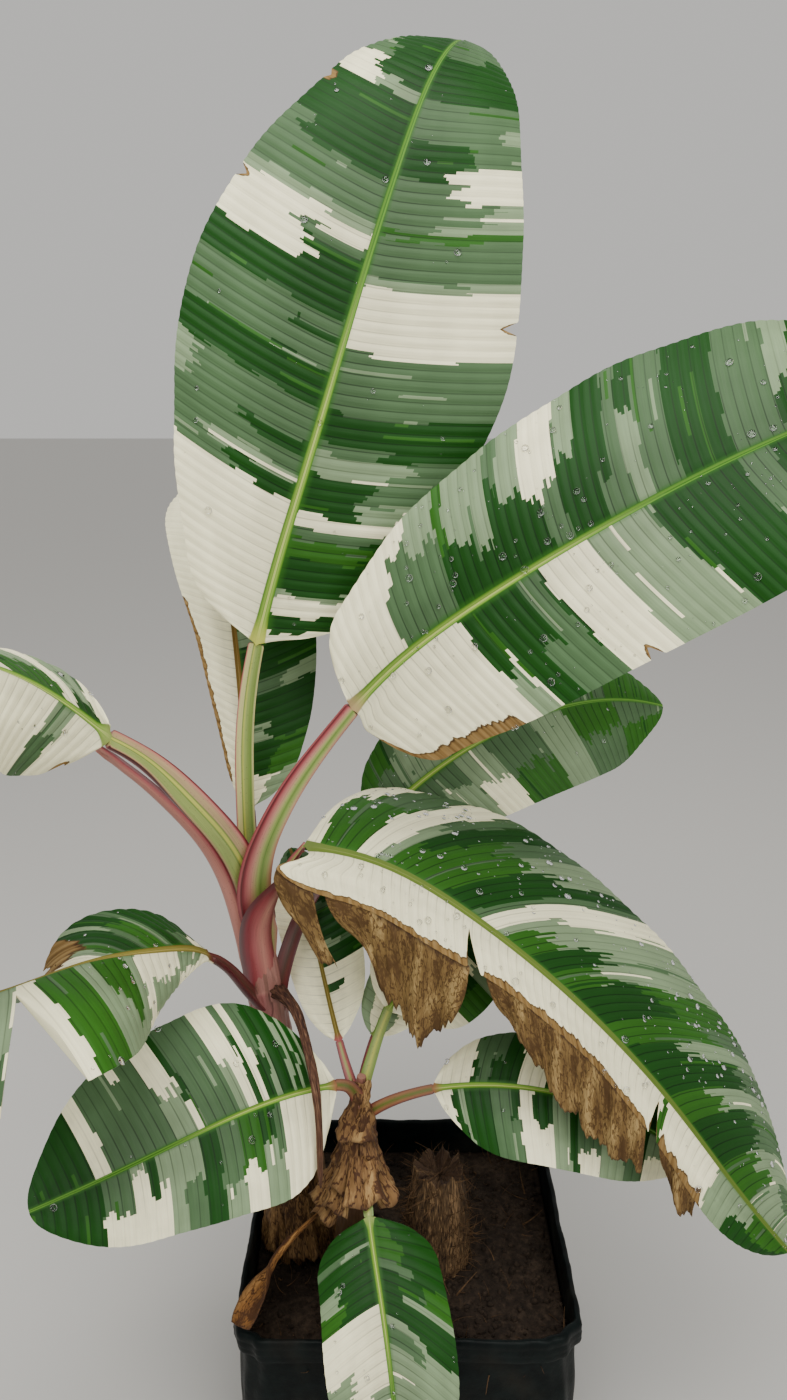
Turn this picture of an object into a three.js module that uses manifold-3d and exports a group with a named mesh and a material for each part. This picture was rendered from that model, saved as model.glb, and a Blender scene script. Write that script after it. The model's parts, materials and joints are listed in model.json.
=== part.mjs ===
// A variegated banana plant in a soft square grow bag, in millimetres, +Z up.
// The origin is the middle of the bag's flat underside, and the front is -Y.
// A heading turns from +Y towards +X, and a rise is an angle above the level, both in degrees.

import * as THREE from 'three';
import Module from 'manifold-3d';

const solids = await Module();
solids.setup();

const clearance = 0.3; // between neighbouring pieces
const roundSides = 12; // of a stem

const bladeShape = {
  thickness: 1 / 90, // of a blade's length
  leastThickness: 4,
  leastWidth: 0.06, // of the listed half width, at both ends
  ribHalf: 12, // from the midrib's middle to its edge
  widestRib: 0.3, // of the half width
  tipRib: 0.6, // of the thickness, below the middle at the tip
  tearReach: 0.03, // of the midrib, each way from a tear
  crowding: 0.09, // how much closer the sections stand near both ends
  smallColumns: [0.55, 1],
  largeColumns: [0.4, 0.72, 1], // of a blade longer than `largeFrom`
  largeFrom: 500,
};

const bag = {
  half: 240, // from the middle to a wall
  corner: 55,
  wall: 4,
  rimHeight: 340,
  cuffHeight: 34, // the rim folded down outside
  cuffDepth: 5,
  rimRounding: 3,
  rimLip: 2, // inward
  belly: [[0, -10], [14, -1], [120, 3], [240, 1], [306, -2]], // heights, and how far the wall bulges there
};

const soil = { levels: [14, 120, 240], top: 280 };
const ground = soil.top + clearance; // the flat foot of every stem

// The stems lean from their foot through a middle to their head.
const mainStem = {
  foot: [-162, 18],
  middle: [-196, 2, 600],
  head: [-224, -8, 890],
  radii: [50, 43, 39, 34, 29, 26, 13],
};
const sucker = {
  foot: [-92, -62],
  middle: [-80, -80, 460],
  head: [-66, -88, 655],
  radii: [31, 25, 22, 20, 18, 8],
};
const stump = { at: [44, -18], height: 165, radii: [56, 50, 47, 44, 38], lean: [8, 6], ripple: 0.07 };

const green = { color: 0x4f7d4c, roughness: 0.5, metalness: 0 };
const paleGreen = { color: 0xb9c98c, roughness: 0.5, metalness: 0 };
const pink = { color: 0x9c4a52, roughness: 0.45, metalness: 0 };
const dry = { color: 0x7d5c3c, roughness: 0.9, metalness: 0 };
const black = { color: 0x14181b, roughness: 0.45, metalness: 0 };
const earth = { color: 0x2b211a, roughness: 1, metalness: 0 };

// Each leaf: where its stalk leaves the stem, the turns of stalk and midrib, and the blade's half widths at
// six even steps from base to tip, which `rounding` then rounds off over its first and last shares.
// `faces` is where the upper side looks at the base and at the tip; `droop` is how far a half hangs below
// the level of the midrib, at the midrib and at the margin. Left and right are as seen along the midrib.
const mainLeaves = [
  {
    name: 'leaf_1',
    root: [-224, -10, 868],
    stalk: { length: 400, headings: [-90, 10, 76], rises: [87, 88, 77], half: [17, 11], depth: [15, 11] },
    blade: {
      length: 930, headings: [77, 72, 66, 60, 40, 12], rises: [75, 71, 71, 69, 58, 12],
      faces: [[182, 12], [178, 55]], rounding: [0.07, 0.22], sweep: 0.05,
      left: [98, 182, 228, 202, 126, 76], right: [115, 190, 224, 186, 124, 82],
      droop: { left: [-8, 10], right: [2, 20] },
    },
    color: green, stalkColor: paleGreen, rows: 24,
  },
  {
    name: 'leaf_2',
    root: [-211, -14, 848],
    stalk: {
      length: 396, headings: [217, 153, 100, 97, 103], rises: [73, 72, 64, 55, 52], half: [20, 11],
      depth: [16, 11],
    },
    blade: {
      length: 830, headings: [106, 104, 100, 96, 90, 84], rises: [50, 38, 33, 29, 22, 12],
      faces: [[185, 24], [185, 46]], rounding: [0.06, 0.25], sweep: 0.05,
      left: [92, 152, 180, 182, 158, 105], right: [125, 160, 172, 174, 158, 100],
      droop: { left: [-10, 10], right: [-10, 15] },
    },
    color: green, stalkColor: pink, rows: 22,
  },
  {
    name: 'leaf_3',
    root: [-216, -3, 760],
    stalk: {
      length: 279, headings: [227, 180, 140, 120, 105], rises: [85, 73, 60, 55, 55], half: [20, 11],
      depth: [17, 10],
    },
    blade: {
      length: 845, headings: [91, 114, 116, 110, 106, 108], rises: [-6, -21, -31, -43, -52, -46],
      faces: [[172, 72], [150, 60]], rounding: [0.08, 0.25], sweep: 0.05,
      left: [200, 236, 235, 222, 205, 170], right: [64, 65, 48, 46, 53, 70],
      droop: { left: [-5, 25], right: [35, 65] },
    },
    color: green, stalkColor: pink, rows: 22,
  },
  {
    name: 'leaf_4',
    root: [-216, -15, 865],
    stalk: {
      length: 373, headings: [-159, -135, -117, -114, -117], rises: [80, 68, 54, 50, 34], half: [20, 15],
      depth: [15, 11],
    },
    blade: {
      length: 600, headings: [-124, -132, -132, -128, -123, -116], rises: [48, 38, 16, -10, -36, -55],
      faces: [[160, 62], [-150, 60]], rounding: [0.1, 0.28], sweep: 0.05,
      left: [80, 130, 150, 150, 130, 80], right: [70, 130, 150, 150, 130, 80],
      droop: { left: [22, 62], right: [-5, 20] },
    },
    color: green, stalkColor: paleGreen, rows: 18,
  },
  {
    name: 'leaf_5',
    root: [-235, -11, 802],
    stalk: {
      length: 394, headings: [-77, -70, -72, -75, -77], rises: [83, 73, 49, 38, 30], half: [14, 11],
      depth: [12, 9],
    },
    stalkColor: pink,
  },
  {
    name: 'leaf_6',
    root: [-216, -28, 742],
    stalk: { length: 150, headings: [-145, -148, -146], rises: [52, 54, 40], half: [13, 9], depth: [11, 8] },
    blade: {
      length: 450, headings: [-160, -146, -137, -128, -119, -114], rises: [42, 22, 14, -2, -8, -34],
      faces: [[176, 62], [-150, 55]], rounding: [0.12, 0.3], sweep: 0.03,
      left: [12, 66, 118, 172, 160, 105], right: [50, 92, 130, 110, 95, 60],
      droop: { left: [26, 69], right: [-5, 20] }, tears: [{ side: 'left', at: 0.65, depth: 0.8 }],
    },
    color: green, stalkColor: pink, rows: 14,
  },
  {
    name: 'leaf_7',
    root: [-192, -13, 725],
    stalk: {
      length: 313, headings: [58, 33, 38, 70], rises: [85, 54, 27, 42], half: [13, 9], depth: [11, 8],
    },
    blade: {
      length: 560, headings: [66, 70, 72, 71, 71, 70], rises: [42, 34, 24, 13, -2, -18],
      faces: [[172, 36], [162, 50]], rounding: [0.1, 0.28], sweep: 0.05,
      left: [64, 114, 128, 126, 108, 68], right: [60, 110, 126, 126, 108, 68],
      droop: { left: [-5, 25], right: [0, 25] },
    },
    color: green, stalkColor: pink, rows: 16,
  },
  {
    name: 'leaf_8',
    root: [-221, 10, 842],
    stalk: { length: 170, headings: [-16, -15, -12], rises: [70, 74, 76], half: [14, 10], depth: [11, 9] },
    blade: {
      length: 600, headings: [-12, -14, -18, -17, -14, -12], rises: [76, 72, 66, 56, 36, 8],
      faces: [[182, 10], [180, 50]], rounding: [0.1, 0.28], sweep: 0.05,
      left: [24, 42, 60, 80, 80, 50], right: [60, 104, 122, 122, 105, 60],
      droop: { left: [-8, 15], right: [-8, 15] },
    },
    color: green, stalkColor: pink, rows: 16,
  },
];

const suckerLeaves = [
  {
    name: 'sucker_leaf_1',
    root: [-72, -98, 628],
    stalk: { length: 58, headings: [-150, -140, -126], rises: [62, 48, 20], half: [10, 8], depth: [9, 7] },
    blade: {
      length: 430, headings: [-124, -122, -119, -115, -113, -114], rises: [14, 2, -8, -13, -13, -10],
      faces: [[182, 32], [182, 34]], rounding: [0.12, 0.34], sweep: 0.05,
      left: [90, 125, 116, 100, 84, 60], right: [50, 140, 148, 136, 108, 70],
      droop: { left: [-5, 15], right: [-5, 15] },
    },
    color: green, stalkColor: pink, rows: 16,
  },
  {
    name: 'sucker_leaf_2',
    root: [-64, -84, 585],
    stalk: { length: 118, headings: [104, 102, 100], rises: [44, 30, 20], half: [9, 7], depth: [8, 6] },
    blade: {
      length: 400, headings: [100, 100, 99, 97, 96, 96], rises: [16, 6, -6, -20, -30, -36],
      faces: [[180, 50], [180, 45]], rounding: [0.14, 0.34], sweep: 0.05,
      left: [52, 78, 86, 82, 70, 50], right: [55, 92, 96, 88, 72, 50],
      droop: { left: [0, 15], right: [0, 15] },
    },
    color: green, stalkColor: pink, rows: 14,
  },
  {
    name: 'sucker_leaf_3',
    root: [-72, -88, 520],
    stalk: { length: 88, headings: [162, 168, 172], rises: [-6, -32, -38], half: [9, 7], depth: [8, 6] },
    blade: {
      length: 400, headings: [170, 168, 166, 160, 150, 140], rises: [-34, -32, -52, -74, -83, -85],
      faces: [[180, 50], [180, 20]], rounding: [0.14, 0.34], sweep: 0.05,
      left: [84, 90, 92, 86, 70, 45], right: [84, 86, 88, 84, 70, 45],
      droop: { left: [0, 20], right: [0, 20] }, tears: [{ side: 'right', at: 0.6, depth: 0.8 }],
    },
    color: green, stalkColor: pink, rows: 14,
  },
  {
    name: 'sucker_leaf_4',
    root: [-64, -80, 632],
    stalk: { length: 112, headings: [38, 40, 44], rises: [62, 62, 56], half: [9, 7], depth: [8, 6] },
    blade: {
      length: 240, headings: [56, 64, 66, 62, 56, 50], rises: [50, 38, 28, 18, 8, 0],
      faces: [[180, 40], [180, 60]], rounding: [0.14, 0.34], sweep: 0.05,
      left: [50, 78, 84, 76, 60, 35], right: [60, 94, 100, 88, 66, 40],
      droop: { left: [-5, 15], right: [-5, 15] },
    },
    color: green, stalkColor: paleGreen, rows: 12,
  },
  {
    name: 'sucker_leaf_5',
    root: [-76, -80, 624],
    stalk: { length: 72, headings: [-36, -30, -26], rises: [52, 50, 50], half: [8, 6], depth: [7, 6] },
    blade: {
      length: 320, headings: [-26, -24, -24, -22, -20, -20], rises: [50, 52, 52, 46, 34, 15],
      faces: [[180, 30], [180, 50]], rounding: [0.14, 0.34], sweep: 0.05,
      left: [28, 44, 50, 50, 42, 30], right: [30, 60, 70, 66, 52, 30],
      droop: { left: [-5, 15], right: [-5, 15] },
    },
    color: green, stalkColor: pink, rows: 12,
  },
  {
    name: 'sucker_leaf_6',
    root: [-68, -76, 618],
    stalk: { length: 80, headings: [20, 24, 28], rises: [60, 54, 48], half: [8, 6], depth: [7, 6] },
    blade: {
      length: 220, headings: [28, 30, 30, 28, 26, 24], rises: [46, 38, 30, 22, 12, 0],
      faces: [[180, 40], [180, 60]], rounding: [0.14, 0.34], sweep: 0.05,
      left: [26, 40, 46, 46, 38, 24], right: [34, 50, 54, 50, 40, 24],
      droop: { left: [-5, 15], right: [-5, 15] },
    },
    color: green, stalkColor: pink, rows: 12,
  },
];

// The dead lower margin of leaf 3 hangs in crumpled flaps, between shares of the midrib.
const dryMargin = {
  leaf: 'leaf_3',
  side: 'right',
  overlap: 3, // of a flap into the margin before it is trimmed clear
  outward: 10, // before a flap hangs straight down
  fold: { depth: 7, along: 95, down: 2.2 },
  columns: 36, // for the whole midrib
  flaps: [
    { name: 'dry_flap_1', from: 0.01, to: 0.052, drops: [50, 85, 70] },
    { name: 'dry_flap_2', from: 0.064, to: 0.285, drops: [60, 120, 150, 140, 90] },
    { name: 'dry_flap_3', from: 0.315, to: 0.665, drops: [45, 85, 110, 100, 70] },
    { name: 'dry_flap_4', from: 0.705, to: 0.82, drops: [25, 50, 30] },
  ],
};

// Dry sheaths wrap part of the way round a stem, between two bearings from the front, with a folded hem.
const dryThickness = 4;
const wrapFolds = { along: 17, down: 2, rise: 0.8 };
const collar = { bearings: [-115, 110], heights: [596, 436], radii: [24, 64], lean: [6, -30], folds: 9 };
const sheath = { bearings: [-125, 120], heights: [470, 284], radii: [47, 57], lean: [0, 0], folds: 3 };

// A dead stalk droops from the main stem over the sucker, and a dry strip curls over the bag's front corner.
const deadStalk = {
  points: [[-188, -22, 752], [-160, -72, 752], [-137, -140, 728], [-122, -190, 682], [-118, -214, 568]],
  radii: [12, 8, 6, 6, 5],
};
const dryStrip = {
  points: [[-100, -84, 446], [-150, -128, 432], [-192, -168, 412], [-214, -198, 384], [-232, -238, 362]],
  widths: [3, 4, 12, 17, 9],
  twist: [40, 190], // degrees about its own line
};

const plant = new THREE.Group();

const toRadians = THREE.MathUtils.degToRad;
const mix = THREE.MathUtils.lerp;

function pointing(heading, rise) {
  const level = Math.cos(toRadians(rise));
  const turn = toRadians(heading);
  return new THREE.Vector3(Math.sin(turn) * level, Math.cos(turn) * level, Math.sin(toRadians(rise)));
}

// A smooth value at share f of an evenly spaced list.
function through(values, f) {
  const last = values.length - 1;
  const i = Math.min(Math.max(Math.floor(f * last), 0), last - 1);
  const x = f * last - i;
  const before = values[Math.max(i - 1, 0)];
  const from = values[i];
  const to = values[i + 1];
  const after = values[Math.min(i + 2, last)];
  const cubic = 3 * (from - to) + after - before;
  return from + 0.5 * x * (to - before + x * (2 * before - 5 * from + 4 * to - after + x * cubic));
}

// The middle line of a limb that leaves `start` and turns through its headings and rises.
function route(start, { length, headings, rises }) {
  const steps = 40;
  const stations = [{ point: start.clone(), ahead: pointing(headings[0], rises[0]) }];
  for (let i = 1; i <= steps; i++) {
    const ahead = pointing(through(headings, i / steps), through(rises, i / steps));
    const before = stations[i - 1];
    const chord = before.ahead.clone().add(ahead).normalize();
    stations.push({ point: before.point.clone().addScaledVector(chord, length / steps), ahead });
  }
  return (f) => {
    const i = Math.min(Math.max(Math.floor(f * steps), 0), steps - 1);
    const x = f * steps - i;
    const point = stations[i].point.clone().lerp(stations[i + 1].point, x);
    return { point, ahead: stations[i].ahead.clone().lerp(stations[i + 1].ahead, x).normalize() };
  };
}

// A curve through a stem's foot, middle and head.
function stemRoute({ foot, middle, head }) {
  const curve = new THREE.QuadraticBezierCurve3(
    new THREE.Vector3(...foot, ground), new THREE.Vector3(...middle), new THREE.Vector3(...head));
  return (f) => ({ point: curve.getPoint(f), ahead: curve.getTangent(f) });
}

// The sideways and upward directions of a leaf at share f, from where its upper side faces.
function framed(path, faces, f) {
  const share = Math.min(Math.max(f, 0), 1);
  const { point, ahead } = path(f);
  const [[headingA, riseA], [headingB, riseB]] = faces;
  const upward = pointing(mix(headingA, headingB, share), mix(riseA, riseB, share));
  upward.addScaledVector(ahead, -upward.dot(ahead)).normalize();
  return { point, ahead, upward, side: ahead.clone().cross(upward) };
}

// One closed surface through rings of points, each end closed by pairing its points across.
function loft(rings) {
  const count = rings[0].length;
  const position = rings.flat().flatMap((point) => [point.x, point.y, point.z]);
  const faces = [];
  for (let r = 0; r + 1 < rings.length; r++) {
    for (let k = 0; k < count; k++) {
      const a = r * count + k;
      const b = r * count + ((k + 1) % count);
      faces.push(a, b, a + count, b, b + count, a + count);
    }
  }
  const end = (rings.length - 1) * count;
  for (let k = 0; k < count / 2 - 1; k++) {
    const [a, b, c, d] = [k, k + 1, count - 2 - k, count - 1 - k];
    faces.push(a, c, b, a, d, c);
    faces.push(end + a, end + b, end + c, end + a, end + c, end + d);
  }
  return outward(new Float32Array(position), new Uint32Array(faces));
}

// The same faces with their outer side outward.
function outward(position, faces) {
  let volume = 0;
  const corner = (k) => new THREE.Vector3().fromArray(position, faces[k] * 3);
  for (let k = 0; k < faces.length; k += 3) {
    volume += corner(k).dot(corner(k + 1).cross(corner(k + 2)));
  }
  if (volume < 0) {
    for (let k = 0; k < faces.length; k += 3) {
      [faces[k], faces[k + 1]] = [faces[k + 1], faces[k]];
    }
  }
  return new solids.Manifold(new solids.Mesh({ numProp: 3, vertProperties: position, triVerts: faces }));
}

// A round limb along a path, with radii spaced evenly from its foot to its head.
function limb(path, radii, sides, { grow = 0, flatFoot = false, ripple = 0 } = {}) {
  const rings = radii.length * 2;
  const ripples = { around: 3, along: 5 };
  const sections = [];
  for (let r = 0; r <= rings; r++) {
    const f = r / rings;
    const { point, ahead } = path(f);
    const level = flatFoot && r === 0;
    const axis = level ? new THREE.Vector3(0, 0, 1) : ahead;
    const side = new THREE.Vector3(1, 0, 0).addScaledVector(axis, -axis.x).normalize();
    const front = axis.clone().cross(side);
    const radius = through(radii, f) + grow;
    sections.push(Array.from({ length: sides }, (_, k) => {
      const turn = (k / sides) * 2 * Math.PI;
      const reach = radius * (1 + ripple * Math.sin(ripples.around * turn + ripples.along * f));
      return point.clone()
        .addScaledVector(side, Math.cos(turn) * reach)
        .addScaledVector(front, Math.sin(turn) * reach);
    }));
  }
  return loft(sections);
}

// A stalk of channelled section: round below, with two lips and a shallow channel above.
function stalkSolid(path, { half, depth }, faces, grow = 0) {
  const rings = 9;
  const shares = [-1, -0.5, 0, 0.5, 1];
  const lipRise = 0.35; // of the depth
  const channelDrop = 0.3;
  const sections = [];
  for (let r = 0; r <= rings; r++) {
    const f = r / rings;
    const { point, side, upward } = framed(path, faces, f);
    const width = mix(half[0], half[1], f) + grow;
    const below = mix(depth[0], depth[1], f);
    const across = (share, height) => point.clone()
      .addScaledVector(side, width * Math.sin(share * Math.PI / 2))
      .addScaledVector(upward, height);
    const bowl = (share) => Math.cos(share * Math.PI / 2);
    const top = shares.map((s) => across(s, below * (lipRise - channelDrop * bowl(s)) + grow));
    const bottom = shares.map((s) => across(s, -below * bowl(s) - grow));
    sections.push([...top, ...bottom.reverse()]);
  }
  return loft(sections);
}

// The half width of a blade at share f.
function halfWidth({ rounding }, widths, f) {
  const fromEnds = [f / rounding[0], (1 - f) / rounding[1]].map((x) => Math.min(x, 1));
  const [base, tip] = fromEnds.map((x) => Math.sqrt(1 - (1 - x) ** 2));
  return through(widths, f) * Math.max(base * tip, bladeShape.leastWidth);
}

// How far a torn place narrows a half at share f.
function tornShare(tears, side, f) {
  const reach = bladeShape.tearReach;
  const cuts = tears.filter((tear) => tear.side === side)
    .map((tear) => tear.depth * Math.max(0, 1 - Math.abs(f - tear.at) / reach));
  return 1 - Math.max(0, ...cuts);
}

// The point of a blade at share f of its midrib and signed share t of a half, and its upward side there.
function bladePoint(path, blade, f, t, narrowed = 1) {
  const side = t < 0 ? 'left' : 'right';
  const share = Math.abs(t);
  const forward = blade.sweep * (1 - f) * (4 * f * share ** 1.5 + 0.3 * share);
  const { point, side: sideways, upward } = framed(path, blade.faces, f + forward);
  const [first, last] = blade.droop[side];
  const distance = halfWidth(blade, blade[side], f) * share * narrowed;
  const sign = Math.sign(t) || 1;
  const steps = 6;
  let out = 0;
  let down = 0;
  for (let k = 0; k < steps; k++) {
    const hang = toRadians(mix(first, last, share * (k + 0.5) / steps));
    out += Math.cos(hang) * distance / steps;
    down += Math.sin(hang) * distance / steps;
  }
  const hang = toRadians(mix(first, last, share));
  const normal = upward.clone().multiplyScalar(Math.cos(hang))
    .addScaledVector(sideways, sign * Math.sin(hang));
  point.addScaledVector(sideways, sign * out).addScaledVector(upward, -down);
  return { point, normal };
}

// A blade: two thin halves on a thicker midrib.
function bladeSolid(path, blade, rows, ribDepth, grow = 0) {
  const { smallColumns, largeColumns, largeFrom, tearReach } = bladeShape;
  const columns = blade.length > largeFrom ? largeColumns : smallColumns;
  const tears = blade.tears ?? [];
  const leaf = Math.max(bladeShape.leastThickness, blade.length * bladeShape.thickness);
  const thickness = leaf + 2 * grow;
  const stations = new Set();
  for (let r = 0; r <= rows; r++) {
    stations.add(r / rows - bladeShape.crowding * Math.sin(2 * Math.PI * r / rows));
  }
  for (const tear of tears) {
    [-tearReach, 0, tearReach].forEach((step) => stations.add(tear.at + step));
  }
  const sections = [];
  for (const f of [...stations].sort((a, b) => a - b)) {
    const narrow = Math.min(bladeShape.widestRib, bladeShape.ribHalf / halfWidth(blade, blade.right, f));
    const shares = [...columns.map((c) => -c).reverse(), -narrow, 0, narrow, ...columns];
    const top = [];
    const bottom = [];
    for (const t of shares) {
      const side = t < 0 ? 'left' : 'right';
      const { point, normal } = bladePoint(path, blade, f, t, tornShare(tears, side, f));
      const rib = t === 0 ? mix(ribDepth, thickness * bladeShape.tipRib, f) : thickness / 2;
      top.push(point.clone().addScaledVector(normal, thickness / 2));
      bottom.push(point.clone().addScaledVector(normal, -rib));
    }
    sections.push([...top, ...bottom.reverse()]);
  }
  return loft(sections);
}

// A plate of even thickness on a surface of two shares.
function plateSolid(surface, thickness, across, along) {
  const step = 0.002;
  const sections = [];
  for (let j = 0; j <= along; j++) {
    const top = [];
    const bottom = [];
    for (let i = 0; i <= across; i++) {
      const [a, b] = [i / across, j / along];
      const point = surface(a, b);
      const normal = surface(a + step, b).sub(surface(a - step, b))
        .cross(surface(a, b + step).sub(surface(a, b - step))).normalize();
      top.push(point.clone().addScaledVector(normal, thickness / 2));
      bottom.push(point.clone().addScaledVector(normal, -thickness / 2));
    }
    sections.push([...top, ...bottom.reverse()]);
  }
  return loft(sections);
}

// The largest body left of a solid when its neighbours are cut away.
function clearOf(solid, neighbours) {
  const rest = neighbours.reduce((left, other) => left.subtract(other), solid);
  return rest.decompose().sort((a, b) => b.volume() - a.volume())[0];
}

function add(name, solid, finish) {
  const { vertProperties, triVerts } = solid.getMesh();
  const geometry = new THREE.BufferGeometry();
  geometry.setAttribute('position', new THREE.BufferAttribute(vertProperties, 3));
  geometry.setIndex(new THREE.BufferAttribute(triVerts, 1));
  const mesh = new THREE.Mesh(geometry, new THREE.MeshStandardMaterial(finish));
  mesh.name = name;
  plant.add(mesh);
}

// A ring of a rounded square at one height.
function squareRing(half, height, corner = bag.corner) {
  const perCorner = 5;
  const ring = [];
  for (let side = 0; side < 4; side++) {
    for (let k = 0; k < perCorner; k++) {
      const turn = (side + k / (perCorner - 1)) * Math.PI / 2;
      const quarter = (side + 0.5) * Math.PI / 2;
      const centre = (half - corner) * Math.SQRT2;
      ring.push(new THREE.Vector3(
        centre * Math.cos(quarter) + corner * Math.cos(turn),
        centre * Math.sin(quarter) + corner * Math.sin(turn),
        height));
    }
  }
  return ring;
}

// How far the wall bulges at a height.
function bulgeAt(height) {
  const { belly } = bag;
  const k = Math.max(belly.findIndex(([level]) => level >= height), 1);
  const [[below, from], [above, to]] = [belly[k - 1], belly[k]];
  return mix(from, to, (height - below) / (above - below));
}

function addBag() {
  const { half, rimHeight, cuffHeight, cuffDepth, rimRounding, rimLip, wall, corner, belly } = bag;
  const outside = belly.map(([height, bulge]) => squareRing(half + bulge, height));
  const cuff = [
    squareRing(half + cuffDepth, rimHeight - cuffHeight),
    squareRing(half + cuffDepth, rimHeight - rimRounding),
    squareRing(half, rimHeight),
    squareRing(half - wall - rimLip, rimHeight - rimRounding, corner - wall),
  ];
  const inside = belly.slice(1).reverse()
    .map(([height, bulge]) => squareRing(half + bulge - wall, height, corner - wall));
  inside.push(squareRing(half + bulgeAt(wall) - wall, wall, corner - wall));
  add('grow_bag', loft([...outside, ...cuff, ...inside]), black);
}

function addSoil() {
  const inset = bag.wall + clearance;
  const heights = [inset, ...soil.levels, soil.top];
  const rings = heights
    .map((height) => squareRing(bag.half + bulgeAt(height) - inset, height, bag.corner - inset));
  add('soil', loft(rings), earth);
}

// Stalks leave the stem around its head; each is trimmed clear of the stem and of the stalks before it.
function addLeaves(leaves, stem) {
  const stalks = [stem];
  for (const leaf of leaves) {
    const { name, root, stalk, blade, color, stalkColor, rows } = leaf;
    const stalkPath = route(new THREE.Vector3(...root), stalk);
    const faces = Array(2).fill(blade ? blade.faces[0] : [0, 80]);
    const grown = stalkSolid(stalkPath, stalk, faces, clearance);
    add(`${name}_stalk`, clearOf(stalkSolid(stalkPath, stalk, faces), stalks), stalkColor);
    stalks.push(grown);
    if (blade) {
      const end = stalkPath(1);
      leaf.path = route(end.point.addScaledVector(end.ahead, clearance), blade);
      const solid = bladeSolid(leaf.path, blade, rows, stalk.depth[1]);
      add(`${name}_blade`, clearOf(solid, [grown]), color);
    }
  }
  return stalks;
}

// The flaps leave the margin in its own slope and then hang, with folds that deepen downward.
function addDryMargin() {
  const { side, overlap, outward: reach, fold, columns, flaps } = dryMargin;
  const leaf = mainLeaves.find(({ name }) => name === dryMargin.leaf);
  const { path, blade, rows, stalk } = leaf;
  const grown = { ...blade, [side]: blade[side].map((width) => width + clearance) };
  const bladeCut = bladeSolid(path, grown, rows, stalk.depth[1], clearance);
  for (const { name, from, to, drops } of flaps) {
    const surface = (a, b) => {
      const f = mix(from, to, a);
      const edge = bladePoint(path, blade, f, 1);
      const inner = bladePoint(path, blade, f, 0.96);
      const outwards = edge.point.clone().sub(inner.point).normalize();
      const drop = through(drops, Math.min(Math.max(a, 0), 1)) * b;
      const level = Math.min(drop / 2, reach);
      const crumple = fold.depth * b * Math.sin(a * (to - from) * fold.along + fold.down * b);
      return edge.point.addScaledVector(outwards, level - overlap)
        .add(new THREE.Vector3(0, 0, level - drop))
        .addScaledVector(edge.normal, crumple);
    };
    const across = Math.max(4, Math.round((to - from) * columns));
    add(name, clearOf(plateSolid(surface, dryThickness, across, 4), [bladeCut]), dry);
  }
}

// A dry sheath round the front of a stem, flared and folded towards its hem.
function wrapSolid(path, { bearings, heights, radii, lean, folds }, grow = 0) {
  const { along, down, rise } = wrapFolds;
  const surface = (a, b) => {
    const height = mix(heights[0], heights[1], b);
    const { point } = path(shareAtHeight(path, height));
    const bearing = toRadians(mix(bearings[0], bearings[1], a) - 90);
    const fold = folds * b * Math.sin(a * along + b * down);
    const reach = mix(radii[0], radii[1], b * b) + fold;
    point.x += lean[0] * b * b + Math.cos(bearing) * reach;
    point.y += lean[1] * b * b + Math.sin(bearing) * reach;
    return point.setZ(height + rise * fold);
  };
  return plateSolid(surface, dryThickness + 2 * grow, 12, 4);
}

// Where on a stem's path a height lies.
function shareAtHeight(path, height) {
  let [low, high] = [0, 1];
  for (let k = 0; k < 20; k++) {
    const middle = (low + high) / 2;
    if (path(middle).point.z < height) {
      low = middle;
    } else {
      high = middle;
    }
  }
  return low;
}

function curveRoute(points) {
  const curve = new THREE.CatmullRomCurve3(points.map((point) => new THREE.Vector3(...point)));
  return (f) => ({ point: curve.getPoint(f), ahead: curve.getTangent(f) });
}

function stripSolid({ points, widths, twist }) {
  const path = curveRoute(points);
  const surface = (a, b) => {
    const { point, ahead } = path(Math.min(Math.max(b, 0), 1));
    const turn = toRadians(mix(twist[0], twist[1], b));
    const side = ahead.clone().cross(new THREE.Vector3(0, 0, 1)).normalize();
    const rise = side.clone().cross(ahead);
    const reach = (2 * a - 1) * through(widths, Math.min(Math.max(b, 0), 1));
    return point.addScaledVector(side, Math.cos(turn) * reach).addScaledVector(rise, Math.sin(turn) * reach);
  };
  return plateSolid(surface, dryThickness, 3, 14);
}

function addStump() {
  const { at, height, radii, lean, ripple } = stump;
  const [x, y] = at;
  const path = (f) => ({
    point: new THREE.Vector3(x + lean[0] * f, y + lean[1] * f, ground + height * f),
    ahead: new THREE.Vector3(0, 0, 1),
  });
  add('old_stump', limb(path, radii, roundSides, { ripple }), dry);
}

addBag();
addSoil();

const mainPath = stemRoute(mainStem);
const suckerPath = stemRoute(sucker);
const mainCut = limb(mainPath, mainStem.radii, roundSides, { flatFoot: true, grow: clearance });
const suckerCut = limb(suckerPath, sucker.radii, roundSides, { flatFoot: true, grow: clearance });

add('main_stem', limb(mainPath, mainStem.radii, roundSides, { flatFoot: true }), pink);
const mainStalks = addLeaves(mainLeaves, mainCut);
addDryMargin();

add('sucker_stem', limb(suckerPath, sucker.radii, roundSides, { flatFoot: true }), dry);
const suckerStalks = addLeaves(suckerLeaves, suckerCut);

add('dry_sheath', clearOf(wrapSolid(mainPath, sheath), [mainCut]), dry);
add('dry_collar', clearOf(wrapSolid(suckerPath, collar), suckerStalks), dry);
const deadPath = curveRoute(deadStalk.points);
add('dead_stalk', clearOf(limb(deadPath, deadStalk.radii, 8), mainStalks), dry);
const collarCut = wrapSolid(suckerPath, collar, clearance);
add('dry_strip', clearOf(stripSolid(dryStrip), [suckerCut, collarCut]), dry);
addStump();

export default plant;
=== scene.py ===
import json
import math
import random

import bmesh
import bpy
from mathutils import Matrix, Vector, noise

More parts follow.
